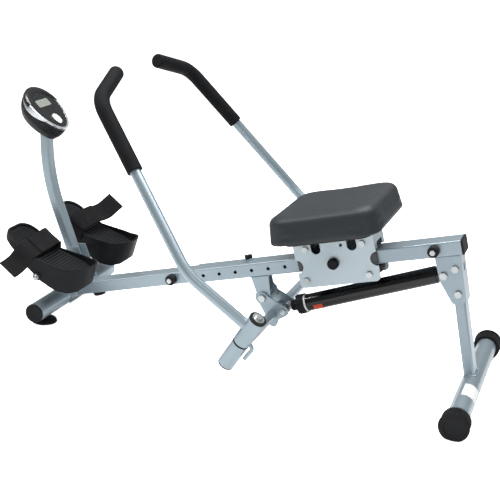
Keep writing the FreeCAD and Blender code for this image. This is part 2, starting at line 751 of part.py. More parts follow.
def pedal_axle():
    """Cross axle for both footplates, with spacers, washers and cap nuts."""
    au = PEDAL_AXLE.x
    an = PEDAL_AXLE.z
    inside = PEDAL_Y - PEDAL_HALF_W
    outside = PEDAL_Y + PEDAL_HALF_W
    bar = rod_y(au, an, -outside - 10, outside + 10, PEDAL_AXLE_R)
    nut = hex_head(V(au, -outside - 0.3, an), V(0, -1, 0), 16, 8)
    dome = Part.makeSphere(7.0, V(au, -outside - 8, an))
    dome = dome.common(rod_y(au, an, -outside - 16, -outside - 8, 8.0))
    inner_nut = hex_head(V(au, -inside + 8.3, an), V(0, -1, 0), 16, 8)
    side = fuse([nut, dome, inner_nut])
    return fuse([bar, side, mirror(side)])


# ---- length lock knob --------------------------------------------------------
def length_knob():
    """Three-lobed clamp screw in the rail's top boss."""
    low = RAIL_H / 2 + 6.3
    lobes = [rod(V(LOCK_U, 0, low), V(LOCK_U, 0, low + 9), 7.5)]
    for i in range(3):
        angle = math.radians(120 * i + 30)
        spot = V(LOCK_U + 6.0 * math.cos(angle), 6.0 * math.sin(angle), low)
        lobes.append(rod(spot, spot + N_AXIS * 9, 5.0))
    screw_end = front_half_height() + 0.1
    lobes.append(rod(V(LOCK_U, 0, screw_end), V(LOCK_U, 0, low), 5.0))
    return fuse(lobes)


# ---- sliding seat ------------------------------------------------------------
def carriage_plate():
    """Left cheek: rounded plate with end scallops, top notches and bolt holes."""
    u0 = CARRIAGE_U0
    u1 = CARRIAGE_U1
    n0 = CARRIAGE_N0
    n1 = CARRIAGE_N1
    y0 = -CARRIAGE_IN_Y - CARRIAGE_T
    y1 = -CARRIAGE_IN_Y
    plate = box(u0, u1, y0, y1, n0, n1)
    low = [edge for edge in plate.Edges if edge.BoundBox.YLength > 3
           and edge.BoundBox.ZMax < n0 + 1]
    plate = plate.makeFillet(12.0, low)
    cuts = [rod_y(u, 0, y0 - 1, y1 + 1, END_SCALLOP_R) for u in (u0, u1)]
    for u in TOP_NOTCH_U:
        cuts.append(rod_y(u, 39, y0 - 1, y1 + 1, TOP_NOTCH_R))
        cuts.append(box(u - TOP_NOTCH_R, u + TOP_NOTCH_R, y0 - 1, y1 + 1, 39, 58))
    cuts.append(rod_y(383, 43, y0 - 1, y1 + 1, 4.0))
    cuts.append(rod_y(KNOB_U, 0, y0 - 1, y1 + 1, 5.0 + PIN_GAP))
    cuts += [rod_y(u, TOP_AXLE_N, y0 - 1, y1 + 1, AXLE_R) for u in TOP_AXLE_U]
    cuts += [rod_y(u, LOW_AXLE_N, y0 - 1, y1 + 1, AXLE_R) for u in LOW_AXLE_U]
    return plate.cut(Part.makeCompound(cuts))


def carriage_plate_right():
    plate = mirror(carriage_plate())
    return fuse([plate, rod_y(KNOB_U, 0, CARRIAGE_IN_Y, CARRIAGE_IN_Y + CARRIAGE_T, 6.0)])


def carriage_top():
    """Deck over the rail with end walls that stop just above it."""
    y = CARRIAGE_IN_Y
    top = CARRIAGE_N1
    low = RAIL_H / 2 + 4
    deck = box(CARRIAGE_U0, CARRIAGE_U1, -y - CARRIAGE_T, y + CARRIAGE_T, top, top + 3)
    walls = []
    for u in (CARRIAGE_U0, CARRIAGE_U1 - 3):
        wall = box(u, u + 3, -y, y, low, top)
        notch = box(u - 1, u + 4, -24, 24, low - 1, low + 14)
        walls.append(wall.cut(notch))
    return fuse([deck] + walls)


def guide_pads():
    """Four nylon blocks that keep the carriage centred on the rail's sides."""
    inner = RAIL_W / 2 + ROLL_GAP
    blocks = []
    for u0, u1 in ((CARRIAGE_U0 + 2, CARRIAGE_U0 + 36), (CARRIAGE_U1 - 36, CARRIAGE_U1 - 2)):
        block = box(u0, u1, -CARRIAGE_IN_Y, -inner, -13, 13)
        ends = [edge for edge in block.Edges if edge.BoundBox.ZLength > 20]
        blocks.append(block.makeFillet(2.5, ends))
    pair = Part.makeCompound(blocks)
    return Part.makeCompound([pair, mirror(pair)])


def roller_axles():
    half = CARRIAGE_IN_Y + CARRIAGE_T
    bolts = [cross_bolt(u, TOP_AXLE_N, half, AXLE_R, 15, 6) for u in TOP_AXLE_U]
    bolts += [cross_bolt(u, LOW_AXLE_N, half, AXLE_R, 15, 6) for u in LOW_AXLE_U]
    return Part.makeCompound(bolts)


def top_roller(u):
    half = 24.0
    wheel = rod_y(u, TOP_AXLE_N, -half, half, TOP_ROLLER_R)
    rims = [edge for edge in wheel.Edges if edge.Length > 100 and edge.BoundBox.YLength < 0.1]
    wheel = wheel.makeFillet(2.0, rims)
    hubs = rod_y(u, TOP_AXLE_N, -38, 38, 9.0)
    return fuse([wheel, hubs]).cut(rod_y(u, TOP_AXLE_N, -40, 40, AXLE_R + PIN_GAP))


def low_roller(u):
    """Left and right wheels on one turning sleeve under the rail."""
    wheel = rod_y(u, LOW_AXLE_N, -38, -24, LOW_ROLLER_R)
    rims = [edge for edge in wheel.Edges if edge.Length > 100 and edge.BoundBox.YLength < 0.1]
    wheel = wheel.makeFillet(2.0, rims)
    sleeve = rod_y(u, LOW_AXLE_N, -26, 26, 7.5)
    pair = fuse([wheel, mirror(wheel), sleeve])
    return pair.cut(rod_y(u, LOW_AXLE_N, -40, 40, AXLE_R + PIN_GAP))


def carriage_knob():
    """Round clamp knob on the left cheek; its screw stops short of the rail."""
    face = -CARRIAGE_IN_Y - CARRIAGE_T - 0.3
    grip = rod_y(KNOB_U, 0, face - 12, face, 14.0)
    rim = [edge for edge in grip.Edges if abs(edge.BoundBox.YMin - face + 12) < 0.01
           and edge.BoundBox.YLength < 0.1]
    grip = grip.makeFillet(4.5, rim)
    return fuse([grip, rod_y(KNOB_U, 0, face, -RAIL_W / 2 - 0.5, 5.0)])


def seat_board():
    deck = CARRIAGE_N1 + 3
    inset = 2 * SEAT_BOARD_INSET
    wire = rounded_rect(SEAT_U1 - SEAT_U0 - inset, 2 * SEAT_HALF_Y - inset, 24)
    centre = V((SEAT_U0 + SEAT_U1) / 2, 0, deck)
    return Part.Face(place(wire, centre, U_AXIS, N_AXIS)).extrude(N_AXIS * SEAT_BOARD_T)


def seat_cushion():
    low = CARRIAGE_N1 + 3 + SEAT_BOARD_T
    wire = rounded_rect(SEAT_U1 - SEAT_U0, 2 * SEAT_HALF_Y, 44)
    centre = V((SEAT_U0 + SEAT_U1) / 2, 0, low)
    pad = Part.Face(place(wire, centre, U_AXIS, N_AXIS)).extrude(N_AXIS * SEAT_THICK)
    top = [edge for edge in pad.Edges if edge.BoundBox.ZMin > low + SEAT_THICK - 0.1]
    pad = pad.makeFillet(20.0, top)
    foot = [edge for edge in pad.Edges if edge.BoundBox.ZMax < low + 0.1]
    return pad.makeFillet(6.0, foot)


# ---- crank and handle arms ---------------------------------------------------
def crank_frame():
    """Two side plates and the cross beam that carries both arm hubs."""
    y0 = -CRANK_PLATE_IN - CRANK_PLATE_T
    y1 = -CRANK_PLATE_IN
    sides = [capsule(CRANK_PIVOT, 14.5, BEAM_AXIS, 19.0, y0, y1),
             capsule(BEAM_AXIS, 19.0, ROD_EYE, 14.0, y0, y1),
             capsule(BEAM_AXIS, 19.0, (BEAM_AXIS[0] - 4, BEAM_AXIS[1] - 21), 12.0, y0, y1),
             capsule(ROD_EYE, 13.0, CRANK_PIVOT, 12.0, y0, y1),
             plate_y([CRANK_PIVOT, BEAM_AXIS, ROD_EYE], y0, y1)]
    plate = fuse(sides)
    beam = rod_y(BEAM_AXIS[0], BEAM_AXIS[1], HUB_BASE.y, -HUB_BASE.y, BEAM_R)
    bore = rod_y(BEAM_AXIS[0], BEAM_AXIS[1], HUB_BASE.y - 30, -HUB_BASE.y + 30, BEAM_R - 2.5)
    whole = fuse([plate, mirror(plate), beam]).cut(bore)
    tube = rod(hub(-10), hub(LOWER_TUBE_TOP), LOWER_TUBE_R)
    whole = whole.cut(both(tube))
    whole = max(whole.Solids, key=lambda solid: solid.Volume)
    pins = [rod_y(CRANK_PIVOT[0], CRANK_PIVOT[1], -50, 50, CRANK_PIN_R + PIN_GAP),
            rod_y(ROD_EYE[0], ROD_EYE[1], -50, 50, ROD_BOLT_R)]
    return whole.cut(Part.makeCompound(pins))


def spindle():
    """Fixed lower tube of the hub with the pin the arm turns on."""
    tube = ring(hub(3), hub(LOWER_TUBE_TOP), LOWER_TUBE_R, LOWER_TUBE_R - 3)
    head = rod(hub(LOWER_TUBE_TOP - 10), hub(LOWER_TUBE_TOP), LOWER_TUBE_R)
    pin = rod(hub(LOWER_TUBE_TOP - 2), hub(SLEEVE_END + 4.3), SPINDLE_R)
    whole = fuse([tube, head, pin])
    return whole.cut(rod(hub(SLEEVE_END - 20), hub(SLEEVE_END + 5), 5.0))


def hub_plug():
    lid = rod(hub(0), hub(3), LOWER_TUBE_R)
    skirt = ring(hub(3), hub(16), LOWER_TUBE_R - 3, LOWER_TUBE_R - 6)
    return fuse([lid, skirt])


def hub_bolt():
    shank = rod(hub(SLEEVE_END - 20), hub(SLEEVE_END + 4.3), 5.0)
    washer = rod(hub(SLEEVE_END + 4.3), hub(SLEEVE_END + 6.3), 14.0)
    head = hex_head(hub(SLEEVE_END + 6.3), HUB_AXIS, 15, 6)
    return fuse([shank, washer, head])


def bushes():
    """Flanged plastic bushes at both ends of the arm sleeve."""
    bore = SPINDLE_R + PIN_GAP
    low = fuse([rod(hub(LOWER_TUBE_TOP + 0.3), hub(SLEEVE_START), SLEEVE_R),
                rod(hub(SLEEVE_START), hub(SLEEVE_START + 18), SLEEVE_BORE_R)])
    high = fuse([rod(hub(SLEEVE_END - 18), hub(SLEEVE_END), SLEEVE_BORE_R),
                 rod(hub(SLEEVE_END), hub(SLEEVE_END + 4), SLEEVE_R)])
    through = rod(hub(LOWER_TUBE_TOP - 5), hub(SLEEVE_END + 10), bore)
    return Part.makeCompound([low.cut(through), high.cut(through)])


def arm_path():
    points = [hub(ARM_JOIN_AT), ARM_LOW_BEND, ARM_TOP_BEND, ARM_END]
    return rounded_path(points, [150.0, 70.0])


def swing_hook():
    """Bent rod on the sleeve that catches the cross beam if the arm swings too far."""
    side = Y_AXIS.cross(HUB_AXIS).normalize()
    start = hub(SLEEVE_START + 9) + side * 17.5
    corner = hub(SLEEVE_START + 1) + side * 29.5
    end = hub(SLEEVE_START - 34) + side * 27.5
    return sweep_round(rounded_path([start, corner, end], [8.0]), 4.5)


def arm():
    """Bent handle tube welded into its hub sleeve."""
    tube = sweep_round(arm_path(), ARM_TUBE_R)
    bore = sweep_round(arm_path(), ARM_TUBE_R - ARM_WALL)
    sleeve = rod(hub(SLEEVE_START), hub(SLEEVE_END), SLEEVE_R)
    hollow = rod(hub(SLEEVE_START - 1), hub(SLEEVE_END + 1), SLEEVE_BORE_R)
    weld = fuse([tube.cut(bore).cut(sleeve), sleeve, swing_hook()])
    weld = weld.cut(hollow)
    return max(weld.Solids, key=lambda solid: solid.Volume)


def grip():
    """Foam sleeve over the top of the arm, closed at the end."""
    path = arm_path()
    edges = path.Edges
    bend = edges[-2]
    last = edges[-1]
    straight = edges[-3]
    rest = GRIP_LENGTH - bend.Length - last.Length
    top = straight.Vertexes[-1].Point
    back = (straight.Vertexes[0].Point - top).normalize()
    start = top + back * rest
    tip = ARM_END + (ARM_END - ARM_TOP_BEND).normalize() * 6
    corner = ARM_TOP_BEND
    outer = sweep_round(rounded_path([start, corner, tip], [70.0]), GRIP_R)
    rims = [edge for edge in outer.Edges if abs(edge.Length - 2 * math.pi * GRIP_R) < 1
            and (edge.CenterOfMass - tip).Length < 5]
    outer = outer.makeFillet(5.0, rims[:1])
    core = sweep_round(rounded_path([start, corner, ARM_END], [70.0]), ARM_TUBE_R)
    return outer.cut(core)


def rod_end_bolt():
    half = CRANK_PLATE_IN + CRANK_PLATE_T
    return cross_bolt(ROD_EYE[0], ROD_EYE[1], half, ROD_BOLT_R, 14, 6)


def crank_pivot_bolt():
    half = CRANK_PLATE_IN + CRANK_PLATE_T + 0.3
    return cross_bolt(CRANK_PIVOT[0], CRANK_PIVOT[1], half, CRANK_PIN_R, 17, 7)


# ---- damper cylinder -----------------------------------------------------------
def cylinder_barrel():
    body = rod(along_cyl(22), along_cyl(359), 21.5)
    step = rod(along_cyl(13), along_cyl(24), 19.5)
    neck = rod(along_cyl(359), along_cyl(386), 14.0)
    eye = rod_y(CYL_PIVOT[0], CYL_PIVOT[1], -14, 14, 10.0)
    link = rod(along_cyl(4), along_cyl(16), 9.0)
    whole = fuse([body, step, neck, eye, link])
    whole = whole.cut(rod(along_cyl(34), along_cyl(350), 18.0))
    whole = whole.cut(rod(along_cyl(30), along_cyl(390), 8.0 + PIN_GAP))
    return whole.cut(rod_y(CYL_PIVOT[0], CYL_PIVOT[1], -20, 20, CRANK_PIN_R + PIN_GAP))


def cylinder_ring():
    return ring(along_cyl(359), along_cyl(363.5), 23.0, 14.0)


def resistance_knob():
    """Ribbed setting collar that turns on the cylinder's neck."""
    start = 363.8
    end = 384.5
    body = rod(along_cyl(start), along_cyl(end), 25.0)
    side = CYL_DIR.cross(Y_AXIS).normalize()
    cuts = [rod(along_cyl(start - 1), along_cyl(end + 1), 14.0 + PIN_GAP)]
    for i in range(12):
        angle = math.radians(30 * i)
        out = side * math.cos(angle) + Y_AXIS * math.sin(angle)
        cuts.append(rod(along_cyl(start + 5) + out * 27, along_cyl(end + 1) + out * 27, 4.2))
    return body.cut(Part.makeCompound(cuts))


def piston_rod():
    """Chrome rod with its piston and the eye at the crank end."""
    stem = rod(along_cyl(90), along_cyl(CYL_SPAN - 8), 8.0)
    head = rod(along_cyl(80), along_cyl(98), 18.0 - PIN_GAP)
    eye = rod_y(ROD_EYE[0], ROD_EYE[1], -12, 12, 12.5)
    whole = fuse([stem, head, eye])
    return whole.cut(rod_y(ROD_EYE[0], ROD_EYE[1], -20, 20, ROD_EYE_BORE_R))


def rod_boot():
    """Ridged rubber bump stop on the rod, next to the collar."""
    parts = [rod(along_cyl(388), along_cyl(403), 10.5)]
    for i in range(3):
        at = 388.5 + 5 * i
        parts.append(rod(along_cyl(at), along_cyl(at + 3), 13.0))
    whole = fuse(parts).cut(rod(along_cyl(380), along_cyl(410), 8.0))
    return whole.cut(rod_y(ROD_EYE[0], ROD_EYE[1], -14, 14, 12.6))


def all_parts():
    """Every node in the rail frame."""
    left_pedal = pedal()
    left_arm = arm()
    left_grip = grip()
    left_bushes = bushes()
    left_spindle = spindle()
    return {
        "main_rail": main_rail(),
        "rail_end_cap": rail_end_cap(),
        "drop_bracket": drop_bracket(),
        "leg_bracket": leg_bracket(),
        "leg_tube": leg_tube(),
        "rear_stabiliser": rear_stabiliser(),
        "rear_caps": both(rear_cap()),
        "rear_bumpers": both(bumper(BUMPER_REAR_U, RAIL_W / 2)),
        "frame_bolts": frame_bolts(),
        "cylinder_rear_bolt": cross_bolt(CYL_PIVOT[0], CYL_PIVOT[1], BRACKET_OUT_Y,
                                         CRANK_PIN_R, 17, 7),
        "crank_pivot_bolt": crank_pivot_bolt(),
        "front_tube": front_tube(),
        "front_stabiliser": front_stabiliser(),
        "front_plugs": both(front_plug()),
        "front_feet": both(front_foot()),
        "front_bumpers": front_bumpers(),
        "front_bolts": front_bolts(),
        "post_bracket": post_bracket(),
        "console_post": console_post(),
        "console_shell": console_shell(),
        "console_trim": console_trim(),
        "console_face": console_face(),
        "console_lens": console_lens(),
        "console_button": console_button(),
        "pedal_axle": pedal_axle(),
        "pedal_left": left_pedal,
        "pedal_right": mirror(left_pedal),
        "strap_left": strap_left(),
        "strap_right": strap_right(),
        "length_knob": length_knob(),
        "carriage_plate_left": carriage_plate(),
        "carriage_plate_right": carriage_plate_right(),
        "carriage_top": carriage_top(),
        "guide_pads": guide_pads(),
        "roller_axles": roller_axles(),
        "top_roller_front": top_roller(TOP_AXLE_U[0]),
        "top_roller_rear": top_roller(TOP_AXLE_U[1]),
        "low_roller_front": low_roller(LOW_AXLE_U[0]),
        "low_roller_rear": low_roller(LOW_AXLE_U[1]),
        "carriage_knob": carriage_knob(),
        "seat_board": seat_board(),
        "seat_cushion": seat_cushion(),
        "crank_frame": crank_frame(),
        "spindle_left": left_spindle,
        "spindle_right": mirror(left_spindle),
        "hub_plugs": both(hub_plug()),
        "hub_bolts": both(hub_bolt()),
        "rod_end_bolt": rod_end_bolt(),
        "arm_left": left_arm,
        "arm_right": mirror(left_arm),
        "grip_left": left_grip,
        "grip_right": mirror(left_grip),
        "bushes_left": left_bushes,
        "bushes_right": mirror(left_bushes),
        "cylinder_barrel": cylinder_barrel(),
        "cylinder_ring": cylinder_ring(),
        "resistance_knob": resistance_knob(),
        "piston_rod": piston_rod(),
        "rod_boot": rod_boot(),
    }


def tipped(shape):
    """Tip by the rail's slope so that the rail rises toward the rear."""
    moved = shape.copy()
    moved.rotate(V(0, 0, 0), V(0, 1, 0), -RAIL_SLOPE_DEG)
    return moved


def floor_shift(shapes):
    """Move that centres the machine and sets its lowest point on z = 0."""
    bounds = FreeCAD.BoundBox()
    for shape in shapes:
        bounds.add(shape.optimalBoundingBox(False, False))
    middle_x = (bounds.XMin + bounds.XMax) / 2
    return V(-middle_x, 0, -bounds.ZMin)


def main():
    os.makedirs("parts", exist_ok=True)
    shapes = {name: tipped(shape) for name, shape in all_parts().items()}
    shift = floor_shift(shapes.values())
    for name, shape in shapes.items():
        shape.translate(shift)
        shape.exportStep("parts/" + name + ".step")
    print("wrote", len(shapes), "parts, shift", shift)


main()
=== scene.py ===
# %% [markdown]
# # A hydraulic rowing machine
# The hard parts of this machine come from its CAD model: the sloping rail, the
# leg, the seat carriage, the crank and the two handle arms.  This lesson gives
# each of them a finish, and makes again the pieces that CAD leaves plain: the
# upholstered seat, the webbing straps and the ribbed rear caps.  It adds the
# display's shell and trim, a weld bead and the two stickers.

# %% Load the frame
import json
import math

import bmesh
import bpy
from mathutils import Matrix, Vector, noise


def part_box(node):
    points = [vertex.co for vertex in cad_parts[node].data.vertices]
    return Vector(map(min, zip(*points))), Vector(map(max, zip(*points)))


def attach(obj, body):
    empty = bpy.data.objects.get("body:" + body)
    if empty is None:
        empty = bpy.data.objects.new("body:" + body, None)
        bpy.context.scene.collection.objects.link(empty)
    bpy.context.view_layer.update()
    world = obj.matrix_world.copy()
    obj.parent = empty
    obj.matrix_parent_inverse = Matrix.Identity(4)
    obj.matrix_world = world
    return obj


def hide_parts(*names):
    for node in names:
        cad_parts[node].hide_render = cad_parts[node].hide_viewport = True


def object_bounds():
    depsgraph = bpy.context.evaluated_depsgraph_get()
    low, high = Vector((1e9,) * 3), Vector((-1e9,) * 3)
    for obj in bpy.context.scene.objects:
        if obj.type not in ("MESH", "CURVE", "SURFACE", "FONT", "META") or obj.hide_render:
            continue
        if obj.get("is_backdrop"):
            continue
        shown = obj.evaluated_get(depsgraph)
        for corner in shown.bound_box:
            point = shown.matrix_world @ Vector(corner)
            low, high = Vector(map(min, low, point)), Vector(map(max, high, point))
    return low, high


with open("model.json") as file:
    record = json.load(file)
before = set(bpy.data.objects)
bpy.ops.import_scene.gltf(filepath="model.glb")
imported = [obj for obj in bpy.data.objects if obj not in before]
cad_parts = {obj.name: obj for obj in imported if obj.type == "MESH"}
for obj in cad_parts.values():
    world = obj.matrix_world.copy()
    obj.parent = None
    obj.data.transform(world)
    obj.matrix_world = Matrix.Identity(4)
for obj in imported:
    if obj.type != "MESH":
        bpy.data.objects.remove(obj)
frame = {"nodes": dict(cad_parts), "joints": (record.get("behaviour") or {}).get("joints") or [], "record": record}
cad_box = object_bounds()
nodes = frame["nodes"]
joints = {joint["name"]: joint for joint in frame["joints"]}
print("CAD nodes:", len(nodes), "joints:", len(joints))

# %% [markdown]
# ## Directions of the machine
# The rail slopes, so nearly every part is square to the rail and not to the
# floor.  The seat slides straight along the rail, and its joint already knows
# that direction.  Crossing it with the machine's width gives the direction
# square to the rail's top face.  A matrix made of the three turns a point into
# rail directions, and its transpose turns it back.

# %% Rail directions
rail_along = Vector(joints["seat_slide"]["axis"]).normalized()
rail_across = Vector((0.0, 1.0, 0.0))
rail_up = rail_along.cross(rail_across)
TO_RAIL = Matrix((rail_along, rail_across, rail_up))
FROM_RAIL = TO_RAIL.transposed()


def extent(node, directions):
    """Lowest and highest corner of a CAD node, measured along three directions."""
    spots = [directions @ vertex.co for vertex in nodes[node].data.vertices]
    low = Vector([min(spot[i] for spot in spots) for i in range(3)])
    high = Vector([max(spot[i] for spot in spots) for i in range(3)])
    return low, high


print("slope, degrees:", round(math.degrees(math.asin(rail_along.z)), 2))

# %% [markdown]
# ## Camera
# The machine is seen from the rower's left, a little behind the middle and from
# above, with a moderately long lens.  The whole camera turns slightly about its
# own view line.  It is made first, so that each piece can be judged through it.

# %% Camera
view_right = FROM_RAIL @ Vector((0.91264, 0.35127, -0.20904))
view_down = FROM_RAIL @ Vector((-0.10465, -0.29356, -0.95019))
view_ahead = FROM_RAIL @ Vector((-0.39514, 0.88906, -0.23116))
crank_axis_spot = Vector(joints["crank_turn"]["pos_m"])
camera_from_crank = FROM_RAIL @ Vector((1.0185, -2.33175, 0.7132))

camera_data = bpy.data.cameras.new("camera")
camera = bpy.data.objects.new("camera", camera_data)
bpy.context.scene.collection.objects.link(camera)
turn = Matrix((view_right, -view_down, -view_ahead)).transposed().to_4x4()
camera.matrix_world = Matrix.Translation(crank_axis_spot + camera_from_crank) @ turn
camera_data.sensor_width = 36.0
camera_data.lens = 1040.8 * 36.0 / 500.0
camera_data.shift_x = -0.0034
camera_data.shift_y = 0.0087
camera_data.clip_end = 100.0
bpy.context.scene.camera = camera
print("camera at", [round(value, 3) for value in camera.location])

# %% [markdown]
# ## Floor and light
# A pale floor and large soft lamps stand in for a studio.  One lamp hangs over
# the machine and makes the upper faces bright, and a weaker one at the camera's
# side keeps the black pieces readable.  The world gives a weak even fill.  The
# floor glows a little, but only where it is looked at directly, so that it is
# nearly white without throwing light up at the machine.  A long narrow lamp in
# front draws the bright line along the cylinder's gloss paint.

# %% Floor
bpy.context.scene.view_settings.view_transform = "Standard"
bm = bmesh.new()
bmesh.ops.create_grid(bm, x_segments=2, y_segments=2, size=30.0)
floor_mesh = bpy.data.meshes.new("studio_floor")
bm.to_mesh(floor_mesh)
bm.free()
studio_floor = bpy.data.objects.new("studio_floor", floor_mesh)
bpy.context.scene.collection.objects.link(studio_floor)
studio_floor.location.z = -0.0005
studio_floor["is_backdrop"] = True
floor_paint = bpy.data.materials.new("pale_floor")
floor_paint.use_nodes = True
floor_shader = floor_paint.node_tree.nodes["Principled BSDF"]
floor_shader.inputs["Base Color"].default_value = (0.93, 0.93, 0.93, 1.0)
floor_shader.inputs["Roughness"].default_value = 0.9
floor_shader.inputs["Specular IOR Level"].default_value = 0.1
floor_shader.inputs["Emission Color"].default_value = (1.0, 1.0, 1.0, 1.0)
seen = floor_paint.node_tree.nodes.new("ShaderNodeLightPath")
glow = floor_paint.node_tree.nodes.new("ShaderNodeMath")
glow.operation = "MULTIPLY"
glow.inputs[1].default_value = 0.85
floor_paint.node_tree.links.new(seen.outputs["Is Camera Ray"], glow.inputs[0])
floor_paint.node_tree.links.new(glow.outputs["Value"], floor_shader.inputs["Emission Strength"])
floor_mesh.materials.append(floor_paint)
print("floor ready")

# %% Lamps and world


def soft_lamp(name, place, aim, size, watts):
    """A square soft lamp at a place, pointing at a spot."""
    data = bpy.data.lights.new(name, "AREA")
    data.shape = "SQUARE"
    data.size = size
    data.energy = watts
    lamp = bpy.data.objects.new(name, data)
    bpy.context.scene.collection.objects.link(lamp)
    lamp.location = place
    lamp.rotation_euler = (Vector(aim) - Vector(place)).to_track_quat("-Z", "Y").to_euler()
    return lamp


soft_lamp("overhead_lamp", (0.3, 0.5, 3.2), (0.0, 0.0, 0.3), 2.6, 150.0)
soft_lamp("side_lamp", (1.8, -3.0, 1.9), (0.0, 0.0, 0.3), 1.4, 15.0)
strip = soft_lamp("strip_lamp", (-1.63, -0.82, 2.43), (0.30, 0.0, 0.24), 1.9, 45.0)
strip.data.shape = "RECTANGLE"
strip.data.size_y = 0.15
lamp_way = Vector((0.30, 0.0, 0.24)) - strip.location
lamp_way.normalize()
strip_long = Vector((0.66, -0.118, 0.742))
strip_long = (strip_long - lamp_way * strip_long.dot(lamp_way)).normalized()
strip_turn = Matrix((strip_long, strip_long.cross(lamp_way), -lamp_way)).transposed()
strip.rotation_euler = strip_turn.to_euler()
world = bpy.data.worlds.new("studio_air")
world.use_nodes = True
world.node_tree.nodes["Background"].inputs["Color"].default_value = (0.95, 0.97, 1.0, 1.0)
world.node_tree.nodes["Background"].inputs["Strength"].default_value = 0.24
bpy.context.scene.world = world
print("lamps:", len(bpy.data.lights))

# %% [markdown]
# ## Shared shader effects
# Real finishes share a few habits: paint thins along edges, dust settles on
# faces that look up, and moulded plastic has a fine grain.  Each habit is a
# node group with named inputs, built once.  Every material then places the
# group with its own values, so one change here reaches them all.

# %% Group helpers


def new_group(name, inputs, outputs):
    """A node group with float or colour sockets; returns tree, entry and exit."""
    tree = bpy.data.node_groups.new(name, "ShaderNodeTree")
    for label, kind, value in inputs:
        socket = tree.interface.new_socket(label, in_out="INPUT", socket_type=kind)
        if value is not None:
            socket.default_value = value
    for label, kind in outputs:
        tree.interface.new_socket(label, in_out="OUTPUT", socket_type=kind)
    entry = tree.nodes.new("NodeGroupInput")
    leave = tree.nodes.new("NodeGroupOutput")
    return tree, entry, leave


def add_node(tree, kind, **settings):
    """A node with its settings and its unlinked input values filled in."""
    node = tree.nodes.new(kind)
    for label, value in settings.items():
        if label == "values":
            for socket, number in value.items():
                node.inputs[socket].default_value = number
        else:
            setattr(node, label, value)
    return node


FLOAT = "NodeSocketFloat"
VECTOR = "NodeSocketVector"
print("group helpers ready")

# %% [markdown]
# ### Edge wear
# The Bevel node rounds the surface normal near an edge.  Where the rounded
# normal parts from the true one there is an edge, so their dot product gives a
# mask.  A noise breaks the mask up, because real wear is patchy.  The rounded
# normal is also put out: it catches the light as a real, slightly soft edge.

# %% Edge wear group
wear_tree, wear_in, wear_out = new_group(
    "edge_wear",
    [("Radius", FLOAT, 0.0015), ("Amount", FLOAT, 0.5), ("Patch Scale", FLOAT, 60.0)],
    [("Mask", FLOAT), ("Normal", VECTOR)])
bevel = add_node(wear_tree, "ShaderNodeBevel", samples=6)
true_normal = add_node(wear_tree, "ShaderNodeNewGeometry")
likeness = add_node(wear_tree, "ShaderNodeVectorMath", operation="DOT_PRODUCT")
edge = add_node(wear_tree, "ShaderNodeMapRange",
                values={"From Min": 0.995, "From Max": 0.80, "To Min": 0.0, "To Max": 1.0})
coords = add_node(wear_tree, "ShaderNodeTexCoord")
patches = add_node(wear_tree, "ShaderNodeTexNoise", values={"Detail": 4.0, "Roughness": 0.6})
patch_range = add_node(wear_tree, "ShaderNodeMapRange",
                       values={"From Min": 0.42, "From Max": 0.68})
broken = add_node(wear_tree, "ShaderNodeMath", operation="MULTIPLY")
amount = add_node(wear_tree, "ShaderNodeMath", operation="MULTIPLY", use_clamp=True)
wear_tree.links.new(wear_in.outputs["Radius"], bevel.inputs["Radius"])
wear_tree.links.new(bevel.outputs["Normal"], likeness.inputs[0])
wear_tree.links.new(true_normal.outputs["True Normal"], likeness.inputs[1])
wear_tree.links.new(likeness.outputs["Value"], edge.inputs["Value"])
wear_tree.links.new(coords.outputs["Object"], patches.inputs["Vector"])
wear_tree.links.new(wear_in.outputs["Patch Scale"], patches.inputs["Scale"])
wear_tree.links.new(patches.outputs["Fac"], patch_range.inputs["Value"])
wear_tree.links.new(edge.outputs["Result"], broken.inputs[0])
wear_tree.links.new(patch_range.outputs["Result"], broken.inputs[1])
wear_tree.links.new(broken.outputs["Value"], amount.inputs[0])
wear_tree.links.new(wear_in.outputs["Amount"], amount.inputs[1])
wear_tree.links.new(amount.outputs["Value"], wear_out.inputs["Mask"])
wear_tree.links.new(bevel.outputs["Normal"], wear_out.inputs["Normal"])
print("group:", wear_tree.name)

# %% [markdown]
# ### Dust
# Dust lies on faces that look up and gathers in soft patches.  The mask is the
# upward part of the normal times a broad noise.

# %% Dust group
dust_tree, dust_in, dust_out = new_group(
    "dust", [("Amount", FLOAT, 0.15), ("Patch Scale", FLOAT, 9.0)], [("Mask", FLOAT)])
facing = add_node(dust_tree, "ShaderNodeNewGeometry")
split = add_node(dust_tree, "ShaderNodeSeparateXYZ")
upward = add_node(dust_tree, "ShaderNodeMapRange",
                  values={"From Min": 0.45, "From Max": 1.0})
dust_coords = add_node(dust_tree, "ShaderNodeTexCoord")
dust_noise = add_node(dust_tree, "ShaderNodeTexNoise", values={"Detail": 6.0, "Roughness": 0.7})
dust_mix = add_node(dust_tree, "ShaderNodeMath", operation="MULTIPLY")
dust_amount = add_node(dust_tree, "ShaderNodeMath", operation="MULTIPLY", use_clamp=True)
dust_tree.links.new(facing.outputs["Normal"], split.inputs["Vector"])
dust_tree.links.new(split.outputs["Z"], upward.inputs["Value"])
dust_tree.links.new(dust_coords.outputs["Object"], dust_noise.inputs["Vector"])
dust_tree.links.new(dust_in.outputs["Patch Scale"], dust_noise.inputs["Scale"])
dust_tree.links.new(upward.outputs["Result"], dust_mix.inputs[0])
dust_tree.links.new(dust_noise.outputs["Fac"], dust_mix.inputs[1])
dust_tree.links.new(dust_mix.outputs["Value"], dust_amount.inputs[0])
dust_tree.links.new(dust_in.outputs["Amount"], dust_amount.inputs[1])
dust_tree.links.new(dust_amount.outputs["Value"], dust_out.inputs["Mask"])
print("group:", dust_tree.name)

# %% [markdown]
# ### Grain
# A moulded or sprayed surface is never glass smooth.  Small cells make the
# leathery grain of moulded plastic, and a noise on top keeps it from looking
# ruled.  The group gives a height for a Bump node and a value for roughness.

